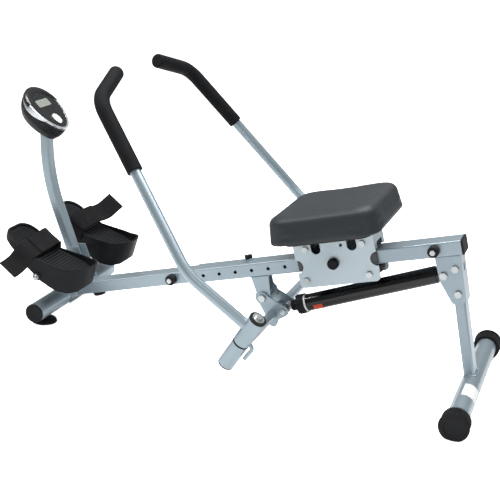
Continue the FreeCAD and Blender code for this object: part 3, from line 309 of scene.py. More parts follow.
# %% Grain group
grain_tree, grain_in, grain_out = new_group(
    "grain", [("Scale", FLOAT, 900.0), ("Cells", FLOAT, 0.6)],
    [("Height", FLOAT), ("Value", FLOAT)])
grain_coords = add_node(grain_tree, "ShaderNodeTexCoord")
grain_cells = add_node(grain_tree, "ShaderNodeTexVoronoi", feature="SMOOTH_F1")
grain_noise = add_node(grain_tree, "ShaderNodeTexNoise", values={"Detail": 3.0})
grain_mix = add_node(grain_tree, "ShaderNodeMix", data_type="FLOAT")
grain_tree.links.new(grain_coords.outputs["Object"], grain_cells.inputs["Vector"])
grain_tree.links.new(grain_coords.outputs["Object"], grain_noise.inputs["Vector"])
grain_tree.links.new(grain_in.outputs["Scale"], grain_cells.inputs["Scale"])
grain_tree.links.new(grain_in.outputs["Scale"], grain_noise.inputs["Scale"])
grain_tree.links.new(grain_in.outputs["Cells"], grain_mix.inputs["Factor"])
grain_tree.links.new(grain_noise.outputs["Fac"], grain_mix.inputs[2])
grain_tree.links.new(grain_cells.outputs["Distance"], grain_mix.inputs[3])
grain_tree.links.new(grain_mix.outputs[0], grain_out.inputs["Height"])
grain_tree.links.new(grain_noise.outputs["Fac"], grain_out.inputs["Value"])
print("group:", grain_tree.name)

# %% [markdown]
# ## Building a finish
# Every finish has the same bones: a base colour that drifts a little, grain in
# the bump, wear along the edges and dust on top.  One function lays those out,
# with the Principled shader in the material itself, and each finish passes the
# values that make it paint, rubber or plastic.

# %% Finish builder


def use_group(material, tree, **values):
    """Place a shared group in a material with its own values."""
    node = material.node_tree.nodes.new("ShaderNodeGroup")
    node.node_tree = tree
    for label, value in values.items():
        node.inputs[label.replace("_", " ")].default_value = value
    return node


def mix_colour(material, factor, low, high):
    """A colour mix; low and high are colours or output sockets."""
    links = material.node_tree.links
    node = add_node(material.node_tree, "ShaderNodeMix", data_type="RGBA")
    links.new(factor, node.inputs["Factor"])
    for index, value in ((6, low), (7, high)):
        if isinstance(value, tuple):
            node.inputs[index].default_value = (*value, 1.0)
        else:
            links.new(value, node.inputs[index])
    return node.outputs[2]


def make_finish(name, dark, light, metallic, rough, worn, wear, dust, grain_scale,
                grain_depth, cells=0.6, edge_radius=0.0012, coat=0.0, drift=14.0,
                dust_colour=(0.42, 0.42, 0.41), rough_spread=0.12, specular=0.5):
    """A worn, dusty, grained finish on the Principled shader."""
    material = bpy.data.materials.new(name)
    material.use_nodes = True
    tree = material.node_tree
    shader = tree.nodes["Principled BSDF"]
    shader.inputs["Metallic"].default_value = metallic
    shader.inputs["Coat Weight"].default_value = coat
    shader.inputs["Coat Roughness"].default_value = 0.12
    shader.inputs["Specular IOR Level"].default_value = specular
    where = add_node(tree, "ShaderNodeTexCoord")
    broad = add_node(tree, "ShaderNodeTexNoise", values={"Scale": drift, "Detail": 5.0})
    tree.links.new(where.outputs["Object"], broad.inputs["Vector"])
    edges = use_group(material, wear_tree, Radius=edge_radius, Amount=wear)
    settled = use_group(material, dust_tree, Amount=dust)
    grain = use_group(material, grain_tree, Scale=grain_scale, Cells=cells)
    base = mix_colour(material, broad.outputs["Fac"], dark, light)
    base = mix_colour(material, edges.outputs["Mask"], base, worn)
    base = mix_colour(material, settled.outputs["Mask"], base, dust_colour)
    tree.links.new(base, shader.inputs["Base Color"])
    spread = add_node(tree, "ShaderNodeMapRange",
                      values={"To Min": rough - rough_spread / 2,
                              "To Max": rough + rough_spread / 2})
    tree.links.new(grain.outputs["Value"], spread.inputs["Value"])
    tree.links.new(spread.outputs["Result"], shader.inputs["Roughness"])
    bump = add_node(tree, "ShaderNodeBump", values={"Strength": 1.0, "Distance": grain_depth})
    tree.links.new(grain.outputs["Height"], bump.inputs["Height"])
    tree.links.new(edges.outputs["Normal"], bump.inputs["Normal"])
    tree.links.new(bump.outputs["Normal"], shader.inputs["Normal"])
    return material


print("finish builder ready")

# %% [markdown]
# ## Metal finishes
# The frame is sprayed with a cool silver paint that has metal flakes in it, so
# it is partly metallic and fairly rough.  The seat carriage is a lighter coat
# of the same kind.  Bolts are zinc plated, and the piston rod is chromed.

# %% Paint, zinc and chrome
silver_paint = make_finish(
    "silver_paint", (0.285, 0.355, 0.40), (0.345, 0.42, 0.465), 0.55, 0.36,
    (0.52, 0.56, 0.58), 0.35, 0.06, 1500.0, 0.00004, cells=0.3, coat=0.25, drift=7.0)
plate_paint = make_finish(
    "plate_paint", (0.45, 0.53, 0.57), (0.51, 0.59, 0.63), 0.5, 0.38,
    (0.66, 0.67, 0.68), 0.3, 0.08, 1500.0, 0.00004, cells=0.3, coat=0.2, drift=8.0)
bright_zinc = make_finish(
    "bright_zinc", (0.42, 0.44, 0.44), (0.58, 0.60, 0.60), 0.95, 0.30,
    (0.80, 0.80, 0.78), 0.4, 0.05, 700.0, 0.00003, edge_radius=0.0006, drift=90.0)
rod_chrome = make_finish(
    "rod_chrome", (0.72, 0.73, 0.75), (0.78, 0.79, 0.81), 1.0, 0.10,
    (0.85, 0.85, 0.86), 0.2, 0.03, 500.0, 0.00001, edge_radius=0.0006, drift=40.0,
    rough_spread=0.05)
barrel_paint = make_finish(
    "barrel_paint", (0.003, 0.003, 0.0035), (0.005, 0.005, 0.0055), 0.0, 0.13,
    (0.03, 0.03, 0.03), 0.25, 0.02, 700.0, 0.00001, cells=0.2, coat=0.3, drift=20.0,
    rough_spread=0.04, specular=0.30, dust_colour=(0.1, 0.1, 0.1))
print("metal finishes ready")

# %% [markdown]
# ## Black finishes
# Nearly everything else is black, and telling the blacks apart is what makes
# the machine look real.  Rubber is matt with a fine tooth, foam is rougher
# still and greyer, moulded plastic has a leathery grain and a low sheen, and
# the display's case is smoother.

# %% Rubber, foam and plastics
black_rubber = make_finish(
    "black_rubber", (0.006, 0.0065, 0.0075), (0.012, 0.0125, 0.014), 0.0, 0.58,
    (0.05, 0.05, 0.05), 0.35, 0.05, 1300.0, 0.00010, cells=0.4, drift=30.0,
    specular=0.2, dust_colour=(0.12, 0.12, 0.12))
grip_foam = make_finish(
    "grip_foam", (0.0045, 0.005, 0.006), (0.009, 0.0095, 0.011), 0.0, 0.70,
    (0.03, 0.03, 0.033), 0.2, 0.03, 1100.0, 0.00035, cells=0.75, edge_radius=0.003,
    drift=22.0, specular=0.12, dust_colour=(0.1, 0.1, 0.1))
black_plastic = make_finish(
    "black_plastic", (0.007, 0.0078, 0.009), (0.012, 0.013, 0.0145), 0.0, 0.46,
    (0.06, 0.06, 0.062), 0.35, 0.05, 1200.0, 0.00012, cells=0.8, edge_radius=0.001,
    drift=18.0, specular=0.14, dust_colour=(0.14, 0.14, 0.145))
roller_plastic = make_finish(
    "roller_plastic", (0.016, 0.016, 0.019), (0.026, 0.026, 0.030), 0.0, 0.40,
    (0.08, 0.08, 0.082), 0.3, 0.05, 800.0, 0.00005, cells=0.3, drift=40.0)
pad_nylon = make_finish(
    "pad_nylon", (0.05, 0.05, 0.053), (0.07, 0.07, 0.073), 0.0, 0.45,
    (0.12, 0.12, 0.12), 0.2, 0.04, 800.0, 0.00005, cells=0.3, drift=40.0)
console_plastic = make_finish(
    "console_plastic", (0.006, 0.0065, 0.0075), (0.010, 0.0105, 0.012), 0.0, 0.34,
    (0.05, 0.05, 0.052), 0.25, 0.03, 1600.0, 0.00006, cells=0.7, edge_radius=0.0008,
    drift=20.0, specular=0.3, dust_colour=(0.12, 0.12, 0.12))
face_plastic = make_finish(
    "face_plastic", (0.010, 0.012, 0.0115), (0.015, 0.0175, 0.017), 0.0, 0.25,
    (0.06, 0.065, 0.063), 0.15, 0.06, 1600.0, 0.00002, cells=0.2, edge_radius=0.0006,
    coat=0.3, drift=20.0, specular=0.3, dust_colour=(0.12, 0.12, 0.12))
trim_silver = make_finish(
    "trim_silver", (0.58, 0.61, 0.64), (0.64, 0.67, 0.70), 0.7, 0.25,
    (0.75, 0.76, 0.77), 0.3, 0.04, 1500.0, 0.00001, edge_radius=0.0006, coat=0.4)
button_white = make_finish(
    "button_white", (0.76, 0.79, 0.77), (0.80, 0.83, 0.80), 0.0, 0.30,
    (0.86, 0.87, 0.85), 0.3, 0.05, 1500.0, 0.00001, edge_radius=0.0006, coat=0.3)
ring_white = make_finish(
    "ring_white", (0.80, 0.80, 0.79), (0.84, 0.84, 0.83), 0.0, 0.35,
    (0.88, 0.88, 0.87), 0.3, 0.05, 1200.0, 0.00002, edge_radius=0.0006)
seat_ply = make_finish(
    "seat_ply", (0.022, 0.019, 0.016), (0.040, 0.034, 0.028), 0.0, 0.65,
    (0.10, 0.08, 0.06), 0.3, 0.05, 260.0, 0.0002, cells=0.1, drift=60.0)
print("black finishes ready")

# %% [markdown]
# ### The display window
# A liquid crystal display looks greenish grey with a faint grid.  The pane is
# given a slightly uneven tone and a clear coat for the window over it.

# %% Screen finish
screen_grey = make_finish(
    "screen_grey", (0.25, 0.275, 0.245), (0.29, 0.315, 0.28), 0.0, 0.22,
    (0.3, 0.32, 0.29), 0.1, 0.03, 1800.0, 0.00001, edge_radius=0.0004, coat=0.8,
    drift=50.0)
print("screen ready")

# %% [markdown]
# ## Paint the carried-over nodes
# The record lists a finish for each CAD node.  A table turns those finish names
# into the materials above.  The nodes' meshes stay exactly as they are.

# %% Apply finishes
FINISHES = {
    "silver_paint": silver_paint, "plate_paint": plate_paint, "bright_zinc": bright_zinc,
    "rod_chrome": rod_chrome, "barrel_paint": barrel_paint, "black_rubber": black_rubber,
    "grip_foam": grip_foam, "black_plastic": black_plastic, "roller_plastic": roller_plastic,
    "pad_nylon": pad_nylon, "console_plastic": console_plastic, "trim_silver": trim_silver,
    "screen_grey": screen_grey, "button_white": button_white, "ring_white": ring_white,
    "seat_ply": seat_ply,
}
for part in frame["record"]["subparts"]:
    finish = FINISHES.get(part["material_slot"])
    if finish is not None:
        mesh = nodes[part["node"]].data
        mesh.materials.clear()
        mesh.materials.append(finish)
nodes["console_face"].data.materials.clear()
nodes["console_face"].data.materials.append(face_plastic)

# %% [markdown]
# ## Helpers for new pieces
# A new piece is drawn in rail directions about a chosen centre, because that is
# how the real parts are laid out.  The helper then places it in the machine,
# gives it its finish, and lets it ride on the body that it belongs to.

# %% Piece helpers


def link_piece(name, bm, finish, body, smooth=True):
    """Store a finished bmesh as an object riding on a body."""
    mesh = bpy.data.meshes.new(name)
    bm.to_mesh(mesh)
    bm.free()
    piece = bpy.data.objects.new(name, mesh)
    bpy.context.scene.collection.objects.link(piece)
    mesh.materials.append(finish)
    for polygon in mesh.polygons:
        polygon.use_smooth = smooth
    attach(piece, body)
    return piece


def rail_matrix(centre):
    """Matrix from rail directions about a centre to the machine's frame."""
    return Matrix.Translation(centre) @ FROM_RAIL.to_4x4()


def apply_modifiers(piece):
    """Replace a piece's mesh by what its modifiers make of it."""
    bpy.context.view_layer.update()
    graph = bpy.context.evaluated_depsgraph_get()
    mesh = bpy.data.meshes.new_from_object(piece.evaluated_get(graph))
    piece.modifiers.clear()
    piece.data = mesh


print("piece helpers ready")

# %% [markdown]
# ## Seat cushion
# The seat is a block of foam under stretched vinyl: crowned on top, soft along
# the upper edge, with upright corners and a seam just under the edge.  A box
# with bevelled edges gives the block.  A cloth simulation with a little inside
# pressure then lets the cover swell and settle as stretched vinyl does, and the
# swelling is held to a few millimetres so that the seat keeps its size.

# %% Vinyl finish
seat_vinyl = make_finish(
    "seat_vinyl", (0.017, 0.0215, 0.026), (0.026, 0.031, 0.034), 0.0, 0.50,
    (0.045, 0.05, 0.05), 0.15, 0.05, 620.0, 0.00022, cells=0.85, edge_radius=0.003,
    drift=8.0, specular=0.36, dust_colour=(0.2, 0.21, 0.2))
print("vinyl ready")

# %% Cushion block
cushion_low, cushion_high = extent("seat_cushion", TO_RAIL)
cushion_size = cushion_high - cushion_low
cushion_centre = FROM_RAIL @ ((cushion_low + cushion_high) / 2)
half_u, half_y, half_n = cushion_size / 2
CROWN = 0.003
SIDE_LEAN = 0.006

bm = bmesh.new()
bmesh.ops.create_cube(bm, size=1.0)
bmesh.ops.scale(bm, vec=cushion_size - Vector((0.003, 0.003, 0.001)), verts=bm.verts)
upright = [e for e in bm.edges if abs((e.verts[0].co - e.verts[1].co).z) > 0.01]
bmesh.ops.bevel(bm, geom=upright, offset=0.046, segments=8, profile=0.5,
                affect="EDGES", material=-1)
top_edges = [e for e in bm.edges if min(v.co.z for v in e.verts) > half_n - 2 * CROWN]
bmesh.ops.bevel(bm, geom=top_edges, offset=0.017, segments=5, profile=0.5,
                affect="EDGES", material=-1)
low_edges = [e for e in bm.edges if max(v.co.z for v in e.verts) < -half_n + 2 * CROWN]
bmesh.ops.bevel(bm, geom=low_edges, offset=0.006, segments=3, profile=0.5,
                affect="EDGES", material=-1)
cushion = link_piece("seat_cushion_cover", bm, seat_vinyl, "carriage")
remesh = cushion.modifiers.new("even_mesh", "REMESH")
remesh.mode = "VOXEL"
remesh.voxel_size = 0.005
apply_modifiers(cushion)
print("cushion vertices:", len(cushion.data.vertices))

# %% [markdown]
# The simulation runs with no gravity, because the foam carries the cover.  The
# base ring is pinned where the vinyl is stapled to the board.

# %% Let the cover settle
rest_shape = [vertex.co.copy() for vertex in cushion.data.vertices]
stapled = cushion.vertex_groups.new(name="stapled")
stapled.add([v.index for v in cushion.data.vertices if v.co.z < -half_n + 0.010],
            1.0, "REPLACE")
cloth = cushion.modifiers.new("vinyl_cover", "CLOTH")
cloth.settings.vertex_group_mass = "stapled"
cloth.settings.quality = 6
cloth.settings.mass = 0.25
cloth.settings.tension_stiffness = 35.0
cloth.settings.compression_stiffness = 20.0
cloth.settings.shear_stiffness = 12.0
cloth.settings.bending_stiffness = 1.5
cloth.settings.use_pressure = True
cloth.settings.uniform_pressure_force = 4.0
cloth.settings.effector_weights.gravity = 0.0
cloth.collision_settings.use_collision = False
cloth.point_cache.frame_start = 1
cloth.point_cache.frame_end = 20
for step in range(1, 21):
    bpy.context.scene.frame_set(step)
apply_modifiers(cushion)
bpy.context.scene.frame_set(1)
moved = max((v.co - r).length for v, r in zip(cushion.data.vertices, rest_shape))
print("largest swelling, mm:", round(moved * 1000, 2))

# %% [markdown]
# The cover's movement is capped, and then the last shaping is done: the top is
# crowned, the sides lean in slightly toward the top, a stitched seam runs round
# the side, and soft puckers gather at the rear corners.

# %% Shape the cover
LIMIT = 0.0018
SEAM_AT = half_n - 0.024
for vertex, start in zip(cushion.data.vertices, rest_shape):
    shift = vertex.co - start
    if shift.length > LIMIT:
        shift = shift.normalized() * LIMIT
    spot = start + shift
    edge_u = min(1.0, abs(spot.x) / half_u)
    edge_y = min(1.0, abs(spot.y) / half_y)
    height = (spot.z + half_n) / (2 * half_n)
    spot.z += CROWN * max(0.0, height) * (1 - edge_u ** 2) * (1 - edge_y ** 2)
    squeeze = 1 - SIDE_LEAN * max(0.0, height) / half_y
    outward = Vector((spot.x, spot.y, 0.0))
    seam = math.exp(-((spot.z - SEAM_AT) / 0.0022) ** 2)
    side = min(1.0, max(edge_u, edge_y) ** 8)
    pucker = noise.noise(Vector((spot.x * 60, spot.y * 60, spot.z * 9)))
    corner = (edge_u * edge_y) ** 4
    inward = 0.0011 * seam * side + 0.0016 * pucker * corner * (1 - height * 0.6)
    if outward.length > 1e-6:
        outward -= outward.normalized() * inward
    spot.x = outward.x * squeeze
    spot.y = outward.y * squeeze
    vertex.co = spot
smoother = cushion.modifiers.new("finer", "SUBSURF")
smoother.levels = 1
smoother.render_levels = 1
apply_modifiers(cushion)
cushion.data.transform(rail_matrix(cushion_centre))
for polygon in cushion.data.polygons:
    polygon.use_smooth = True
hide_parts("seat_cushion")
print("cushion triangles:", sum(len(p.vertices) - 2 for p in cushion.data.polygons))

# %% [markdown]
# ## Footplate straps
# Each strap is nylon webbing with a hemmed free end and a patch of hook tape.
# The weave has to follow the strap, so the band is a grid whose UV map is
# measured in metres along and across it, and its rows are then laid along a
# smooth line over the footplate.

# %% Webbing finish


def make_webbing(name):
    """Woven nylon: ribs along the strap crossed by fine picks, on the UV map."""
    material = bpy.data.materials.new(name)
    material.use_nodes = True
    tree = material.node_tree
    shader = tree.nodes["Principled BSDF"]
    shader.inputs["Roughness"].default_value = 0.82
    shader.inputs["Specular IOR Level"].default_value = 0.15
    shader.inputs["Sheen Weight"].default_value = 0.05
    shader.inputs["Sheen Roughness"].default_value = 0.5
    uv = add_node(tree, "ShaderNodeUVMap", uv_map="strap_map")
    ribs = add_node(tree, "ShaderNodeTexWave", bands_direction="Y",
                    values={"Scale": 140.0, "Distortion": 0.4, "Detail": 1.0})
    picks = add_node(tree, "ShaderNodeTexWave", bands_direction="X",
                     values={"Scale": 260.0, "Distortion": 0.6, "Detail": 1.0})
    weave = add_node(tree, "ShaderNodeMath", operation="MULTIPLY")
    fuzz = add_node(tree, "ShaderNodeTexNoise", values={"Scale": 700.0, "Detail": 4.0})
    worn = add_node(tree, "ShaderNodeTexNoise", values={"Scale": 35.0, "Detail": 4.0})
    height = add_node(tree, "ShaderNodeMath", operation="MULTIPLY_ADD")
    height.inputs[1].default_value = 0.35
    bump = add_node(tree, "ShaderNodeBump", values={"Strength": 1.0, "Distance": 0.00028})
    for texture in (ribs, picks, fuzz, worn):
        tree.links.new(uv.outputs["UV"], texture.inputs["Vector"])
    tree.links.new(ribs.outputs["Fac"], weave.inputs[0])
    tree.links.new(picks.outputs["Fac"], weave.inputs[1])
    tree.links.new(fuzz.outputs["Fac"], height.inputs[0])
    tree.links.new(weave.outputs["Value"], height.inputs[2])
    tree.links.new(height.outputs["Value"], bump.inputs["Height"])
    tree.links.new(bump.outputs["Normal"], shader.inputs["Normal"])
    base = mix_colour(material, weave.outputs["Value"], (0.004, 0.004, 0.0048),
                      (0.010, 0.010, 0.0115))
    patchy = add_node(tree, "ShaderNodeMapRange", values={"From Min": 0.55, "From Max": 0.8,
                                                          "To Max": 0.5})
    tree.links.new(worn.outputs["Fac"], patchy.inputs["Value"])
    base = mix_colour(material, patchy.outputs["Result"], base, (0.018, 0.018, 0.020))
    tree.links.new(base, shader.inputs["Base Color"])
    return material


webbing = make_webbing("webbing")
print("webbing ready")

# %% Footplate directions
FOOT_TILT = math.radians(32.0)
toe_way = FROM_RAIL @ Vector((-math.cos(FOOT_TILT), 0.0, math.sin(FOOT_TILT)))
sole_up = FROM_RAIL @ Vector((math.sin(FOOT_TILT), 0.0, math.cos(FOOT_TILT)))


def foot_spot(side, inward, from_heel, height):
    """Point by a footplate: side is -1 left or 1 right, inward from its middle line."""
    name = "pedal_left_tilt" if side < 0 else "pedal_right_tilt"
    axle = Vector(joints[name]["pos_m"])
    spot = axle + toe_way * (from_heel - 0.120) + sole_up * (height + 0.068)
    spot.y = axle.y - side * inward
    return spot


def smooth_line(spots, count):
    """Points on a Catmull-Rom line through spots, evenly spread by parameter."""
    padded = [spots[0] * 2 - spots[1], *spots, spots[-1] * 2 - spots[-2]]
    line = []
    for step in range(count):
        at = step / (count - 1) * (len(spots) - 1)
        i = min(int(at), len(spots) - 2)
        t = at - i
        a, b, c, d = padded[i:i + 4]
        line.append(0.5 * (2 * b + (c - a) * t + (2 * a - 5 * b + 4 * c - d) * t ** 2
                           + (3 * b - 3 * c + d - a) * t ** 3))
    return line


print("footplate slope, degrees:", round(math.degrees(math.asin(toe_way.z)), 1))

# %% [markdown]
# The band's grid has a row for every few millimetres of its length.  Each row
# is turned with the line, so the strap stays as wide as it was woven, and small
# waves along its edges keep it from looking like sheet metal.

# %% Band maker


def lay_band(name, line, width_way, width, thick, finish, body, wave=0.0006, seed=0):
    """A woven band of even width laid along a line of points."""
    rows = len(line)
    columns = 12
    bm = bmesh.new()
    bmesh.ops.create_grid(bm, x_segments=rows - 1, y_segments=columns, size=0.5)
    uv_layer = bm.loops.layers.uv.new("strap_map")
    travelled = [0.0]
    for before, after in zip(line, line[1:]):
        travelled.append(travelled[-1] + (after - before).length)
    place = {}
    for vertex in bm.verts:
        row = round((vertex.co.x + 0.5) * (rows - 1))
        share = vertex.co.y
        ahead = (line[min(row + 1, rows - 1)] - line[max(row - 1, 0)]).normalized()
        square = (width_way - ahead * width_way.dot(ahead)).normalized()
        face = ahead.cross(square)
        ripple = noise.noise(Vector((travelled[row] * 30, share * 2, seed))) * wave
        place[vertex] = (travelled[row], share * width)
        vertex.co = line[row] + square * (share * width) + face * ripple
    for polygon in bm.faces:
        for loop in polygon.loops:
            loop[uv_layer].uv = place[loop.vert]
    piece = link_piece(name, bm, finish, body)
    wall = piece.modifiers.new("woven_thickness", "SOLIDIFY")
    wall.thickness = thick
    wall.offset = 0.0
    rim = piece.modifiers.new("soft_selvedge", "BEVEL")
    rim.width = thick * 0.3
    rim.segments = 2
    rim.limit_method = "ANGLE"
    return piece, travelled[-1]


def strap_line(side, spots, middle, skew, count):
    """Centre line of a strap from (inward, height) spots in millimetres."""
    points = [foot_spot(side, y / 1000, (middle - skew * y) / 1000, z / 1000)
              for y, z in spots]
    return smooth_line(points, count)


ROLL_LEFT = math.radians(20.0)
ROLL_RIGHT = math.radians(22.0)
left_spots = [(59.6, -43), (59.4, -22), (52, -4), (36, 1), (10, -4), (-32, -9),
              (-55, -12), (-68, -20), (-87, -36), (-108, -44), (-130, -48)]
right_spots = [(59.6, -43), (59.4, -22), (51, -5), (38, 1), (18, 7), (-10, 12),
               (-32, 13), (-52, 17), (-72, 29), (-92, 42)]
left_line = strap_line(-1, left_spots, 160.0, 0.06, 64)
right_line = strap_line(1, right_spots, 146.0, -0.22, 60)
left_width_way = toe_way * math.cos(ROLL_LEFT) + sole_up * math.sin(ROLL_LEFT)
right_width_way = toe_way * math.cos(ROLL_RIGHT) + sole_up * math.sin(ROLL_RIGHT)
strap_left, left_length = lay_band("footstrap_left", left_line, left_width_way, 0.054,
                                   0.0026, webbing, "left_footplate", seed=1)
strap_right, right_length = lay_band("footstrap_right", right_line, right_width_way, 0.054,
                                     0.0026, webbing, "right_footplate", seed=2)
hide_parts("strap_left")
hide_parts("strap_right")
print("strap lengths, mm:", round(left_length * 1000), round(right_length * 1000))

# %% [markdown]
# ## Strap overlap
# The free end of a strap passes through its loop and folds back on hook tape,
# so there is a second layer over the instep.  It is a shorter band laid just
# above the first, along the same line.

# %% Second layer of each strap


def raised_line(line, width_way, lift, start, end):
    """Part of a line, lifted square to the strap's face."""
    first = int(start * (len(line) - 1))
    last = int(end * (len(line) - 1))
    raised = []
    for i in range(first, last + 1):
        ahead = (line[min(i + 1, len(line) - 1)] - line[max(i - 1, 0)]).normalized()
        square = (width_way - ahead * width_way.dot(ahead)).normalized()
        face = ahead.cross(square)
        raised.append(line[i] + face * lift)
    return raised


def outward_sign(line, width_way):
    """Plus or minus one, so that the lift points away from the sole."""
    middle = len(line) // 2
    ahead = (line[middle + 1] - line[middle - 1]).normalized()
    return 1.0 if ahead.cross(width_way).dot(sole_up) > 0 else -1.0


left_lift = 0.0030 * outward_sign(left_line, left_width_way)
right_lift = 0.0030 * outward_sign(right_line, right_width_way)
patch_left, _ = lay_band("strap_overlap_left",
                         raised_line(left_line, left_width_way, left_lift, 0.16, 0.50),
                         left_width_way, 0.0545, 0.0026, webbing, "left_footplate", seed=3)
patch_right, _ = lay_band("strap_overlap_right",
                          raised_line(right_line, right_width_way, right_lift, 0.20, 0.60),
                          right_width_way, 0.0545, 0.0026, webbing, "right_footplate", seed=4)
print("strap layers:", patch_left.name, patch_right.name)

# %% [markdown]
# ## Toe ribs
# The sole is ribbed across under the ball of the foot and under the toes too.
# The sole rises toward the toe, so each rib is a small bevelled bar turned to
# the slope where it stands.

# %% Toe ribs
SOLE_SLOPE = [(0.175, -0.025), (0.205, -0.012), (0.262, 0.003)]


def sole_height(from_heel):
    """Height of the sole's surface and its slope, at a distance from the heel."""
    for (a, low), (b, high) in zip(SOLE_SLOPE, SOLE_SLOPE[1:]):
        if from_heel <= b:
            slope = (high - low) / (b - a)
            return low + (from_heel - a) * slope, math.atan(slope)
    return SOLE_SLOPE[-1][1], 0.0


def add_bar(bm, centre, turn, size, soft):
    """A bar with bevelled edges added to a bmesh."""
    made = bmesh.ops.create_cube(bm, size=1.0)["verts"]
    bmesh.ops.scale(bm, vec=size, verts=made)
    edges = list({edge for vertex in made for edge in vertex.link_edges})
    done = bmesh.ops.bevel(bm, geom=edges, offset=soft, segments=2, profile=0.5,
                           affect="EDGES", material=-1)
    fresh = list({vertex for face in done["faces"] for vertex in face.verts} | set(
        vertex for vertex in made if vertex.is_valid))
    bmesh.ops.transform(bm, matrix=Matrix.Translation(centre) @ turn.to_4x4(), verts=fresh)


for side, word in ((-1, "left"), (1, "right")):
    bm = bmesh.new()
    for count in range(9):
        from_heel = 0.180 + 0.0064 * count
        height, slope = sole_height(from_heel)
        half = 0.043 if from_heel < 0.212 else 0.043 - (from_heel - 0.212) * 0.75
        ahead = toe_way * math.cos(slope) + sole_up * math.sin(slope)
        normal = sole_up * math.cos(slope) - toe_way * math.sin(slope)
        turn = Matrix((ahead, rail_across, ahead.cross(rail_across))).transposed()
        centre = foot_spot(side, 0.0, from_heel, height) + normal * 0.0003
        add_bar(bm, centre, turn, (0.0030, 2 * half, 0.0022), 0.0006)
    link_piece("toe_ribs_" + word, bm, black_plastic, word + "_footplate",
               smooth=False)
print("toe ribs ready")

# %% [markdown]
# ## Bent sheets
# A hood, a sticker and a shoulder panel are all thin skins that follow another
# surface.  Each starts as a flat grid whose vertices are then moved onto that
# surface, row by row, and gets its thickness from a Solidify modifier.

# %% Skin helper


def lay_skin(name, rows, outward, thick, finish, body, soft=0.3):
    """A thin skin through rows of points; outward tells which way is up."""
    bm = bmesh.new()
    count = len(rows)
    width = len(rows[0])
    bmesh.ops.create_grid(bm, x_segments=count - 1, y_segments=width - 1, size=0.5)
    for vertex in bm.verts:
        row = round((vertex.co.x + 0.5) * (count - 1))
        column = round((vertex.co.y + 0.5) * (width - 1))
        vertex.co = rows[row][column]
    bm.normal_update()
    middle = bm.faces[:][len(bm.faces) // 2]
    if middle.normal.dot(outward(middle.calc_center_median())) < 0:
        bmesh.ops.reverse_faces(bm, faces=bm.faces[:])
    piece = link_piece(name, bm, finish, body)
    wall = piece.modifiers.new("skin_thickness", "SOLIDIFY")
    wall.thickness = thick
    wall.offset = 1.0
    rim = piece.modifiers.new("soft_rim", "BEVEL")
    rim.width = thick * soft
    rim.segments = 2
    rim.limit_method = "ANGLE"
    rim.angle_limit = math.radians(50)
    return piece


def spread(start, end, count):
    """Evenly spaced values from start to end."""
    return [start + (end - start) * i / (count - 1) for i in range(count)]


print("skin helper ready")

# %% [markdown]
# ## Console
# The display is an egg-shaped pod that faces the rower.  Its directions come
# from the button, which is pressed straight into the face.  The bright rim's
# outline is a simple formula, so the hood, the silver shoulder and the ribs can
# all be laid on the same egg.

# %% Console directions
console_out = -Vector(joints["button_press"]["axis"]).normalized()
console_up = console_out.cross(rail_across)
TO_CONSOLE = Matrix((rail_across, console_up, console_out))
FROM_CONSOLE = TO_CONSOLE.transposed()
rim_low, rim_high = extent("console_trim", TO_CONSOLE)
console_centre = Vector((0.0, (rim_low.y + rim_high.y) / 2, rim_low.z))
EGG_LONG = (rim_high.y - rim_low.y) / 2 - 0.0005
EGG_WIDE = rim_high.x / 1.0124 - 0.0005
SHELL_DEEP = 0.044


def console_spot(across, up, out):
    """A point on the console from its own three directions."""
    return FROM_CONSOLE @ (console_centre + Vector((across, up, out)))


def pod_spot(angle, out, proud):
    """A point on the pod: angle from the top toward +Y, out from the rim's plane."""
    depth = max(0.0, -out / SHELL_DEEP)
    shrink = (16 * depth - 4) * depth * 0.001 if depth > 0.25 else 0.0
    drop = (6 * depth + 3) * depth * 0.001
    long = EGG_LONG - shrink + proud
    wide = EGG_WIDE - shrink + proud
    across = wide * math.sin(angle) * (1 + 0.16 * math.cos(angle))
    return console_spot(across, long * math.cos(angle) - drop, out)


print("pod, mm:", round(EGG_LONG * 2000), "x", round(EGG_WIDE * 2000))

# %% [markdown]
# The hood is a black glossy cap over the top of the rim.  It is widest at the
# top and runs out to nothing at the sides, and it wraps a little way down the
# back of the rim.

# %% Hood
gloss_black = make_finish(
    "gloss_black", (0.006, 0.006, 0.007), (0.010, 0.010, 0.011), 0.0, 0.18,
    (0.05, 0.05, 0.05), 0.2, 0.04, 1500.0, 0.00001, edge_radius=0.0006, coat=0.6,
    dust_colour=(0.2, 0.2, 0.2), rough_spread=0.06)
hood_rows = []
for angle in spread(math.radians(-72), math.radians(78), 49):
    reach = 0.021 * max(0.0, math.cos(angle * 1.12)) ** 0.8 + 0.001
    row = [pod_spot(angle, -0.005, 0.0012), pod_spot(angle, 0.0015, 0.0016)]
    for share, out in ((0.0, 0.0043), (0.15, 0.0052), (0.4, 0.0060), (0.7, 0.0058),
                       (0.9, 0.0050), (1.0, 0.0040), (1.03, 0.0030)):
        row.append(pod_spot(angle, out, 0.0012 - reach * share))
    hood_rows.append(row)
hood = lay_skin("console_hood", hood_rows, lambda spot: console_out, 0.0008, gloss_black,
                "front")
print("hood faces:", len(hood.data.polygons))

# %% Silver shoulder
shoulder_rows = []
for angle in spread(math.radians(-122), math.radians(-28), 33):
    share = (angle + math.radians(122)) / math.radians(94)
    reach = 0.0155 * math.sin(math.pi * share) ** 0.75
    row = [pod_spot(angle, 0.0042, -0.0002)]
    row += [pod_spot(angle, 0.0036 - reach * step, 0.0014 - 0.0006 * step)
            for step in (0.0, 0.3, 0.6, 0.85, 1.0)]
    shoulder_rows.append(row)
shoulder = lay_skin("console_shoulder", shoulder_rows,
                    lambda spot: spot - console_spot(0.0, 0.0, -0.01), 0.0007, trim_silver,
                    "front")
print("shoulder faces:", len(shoulder.data.polygons))

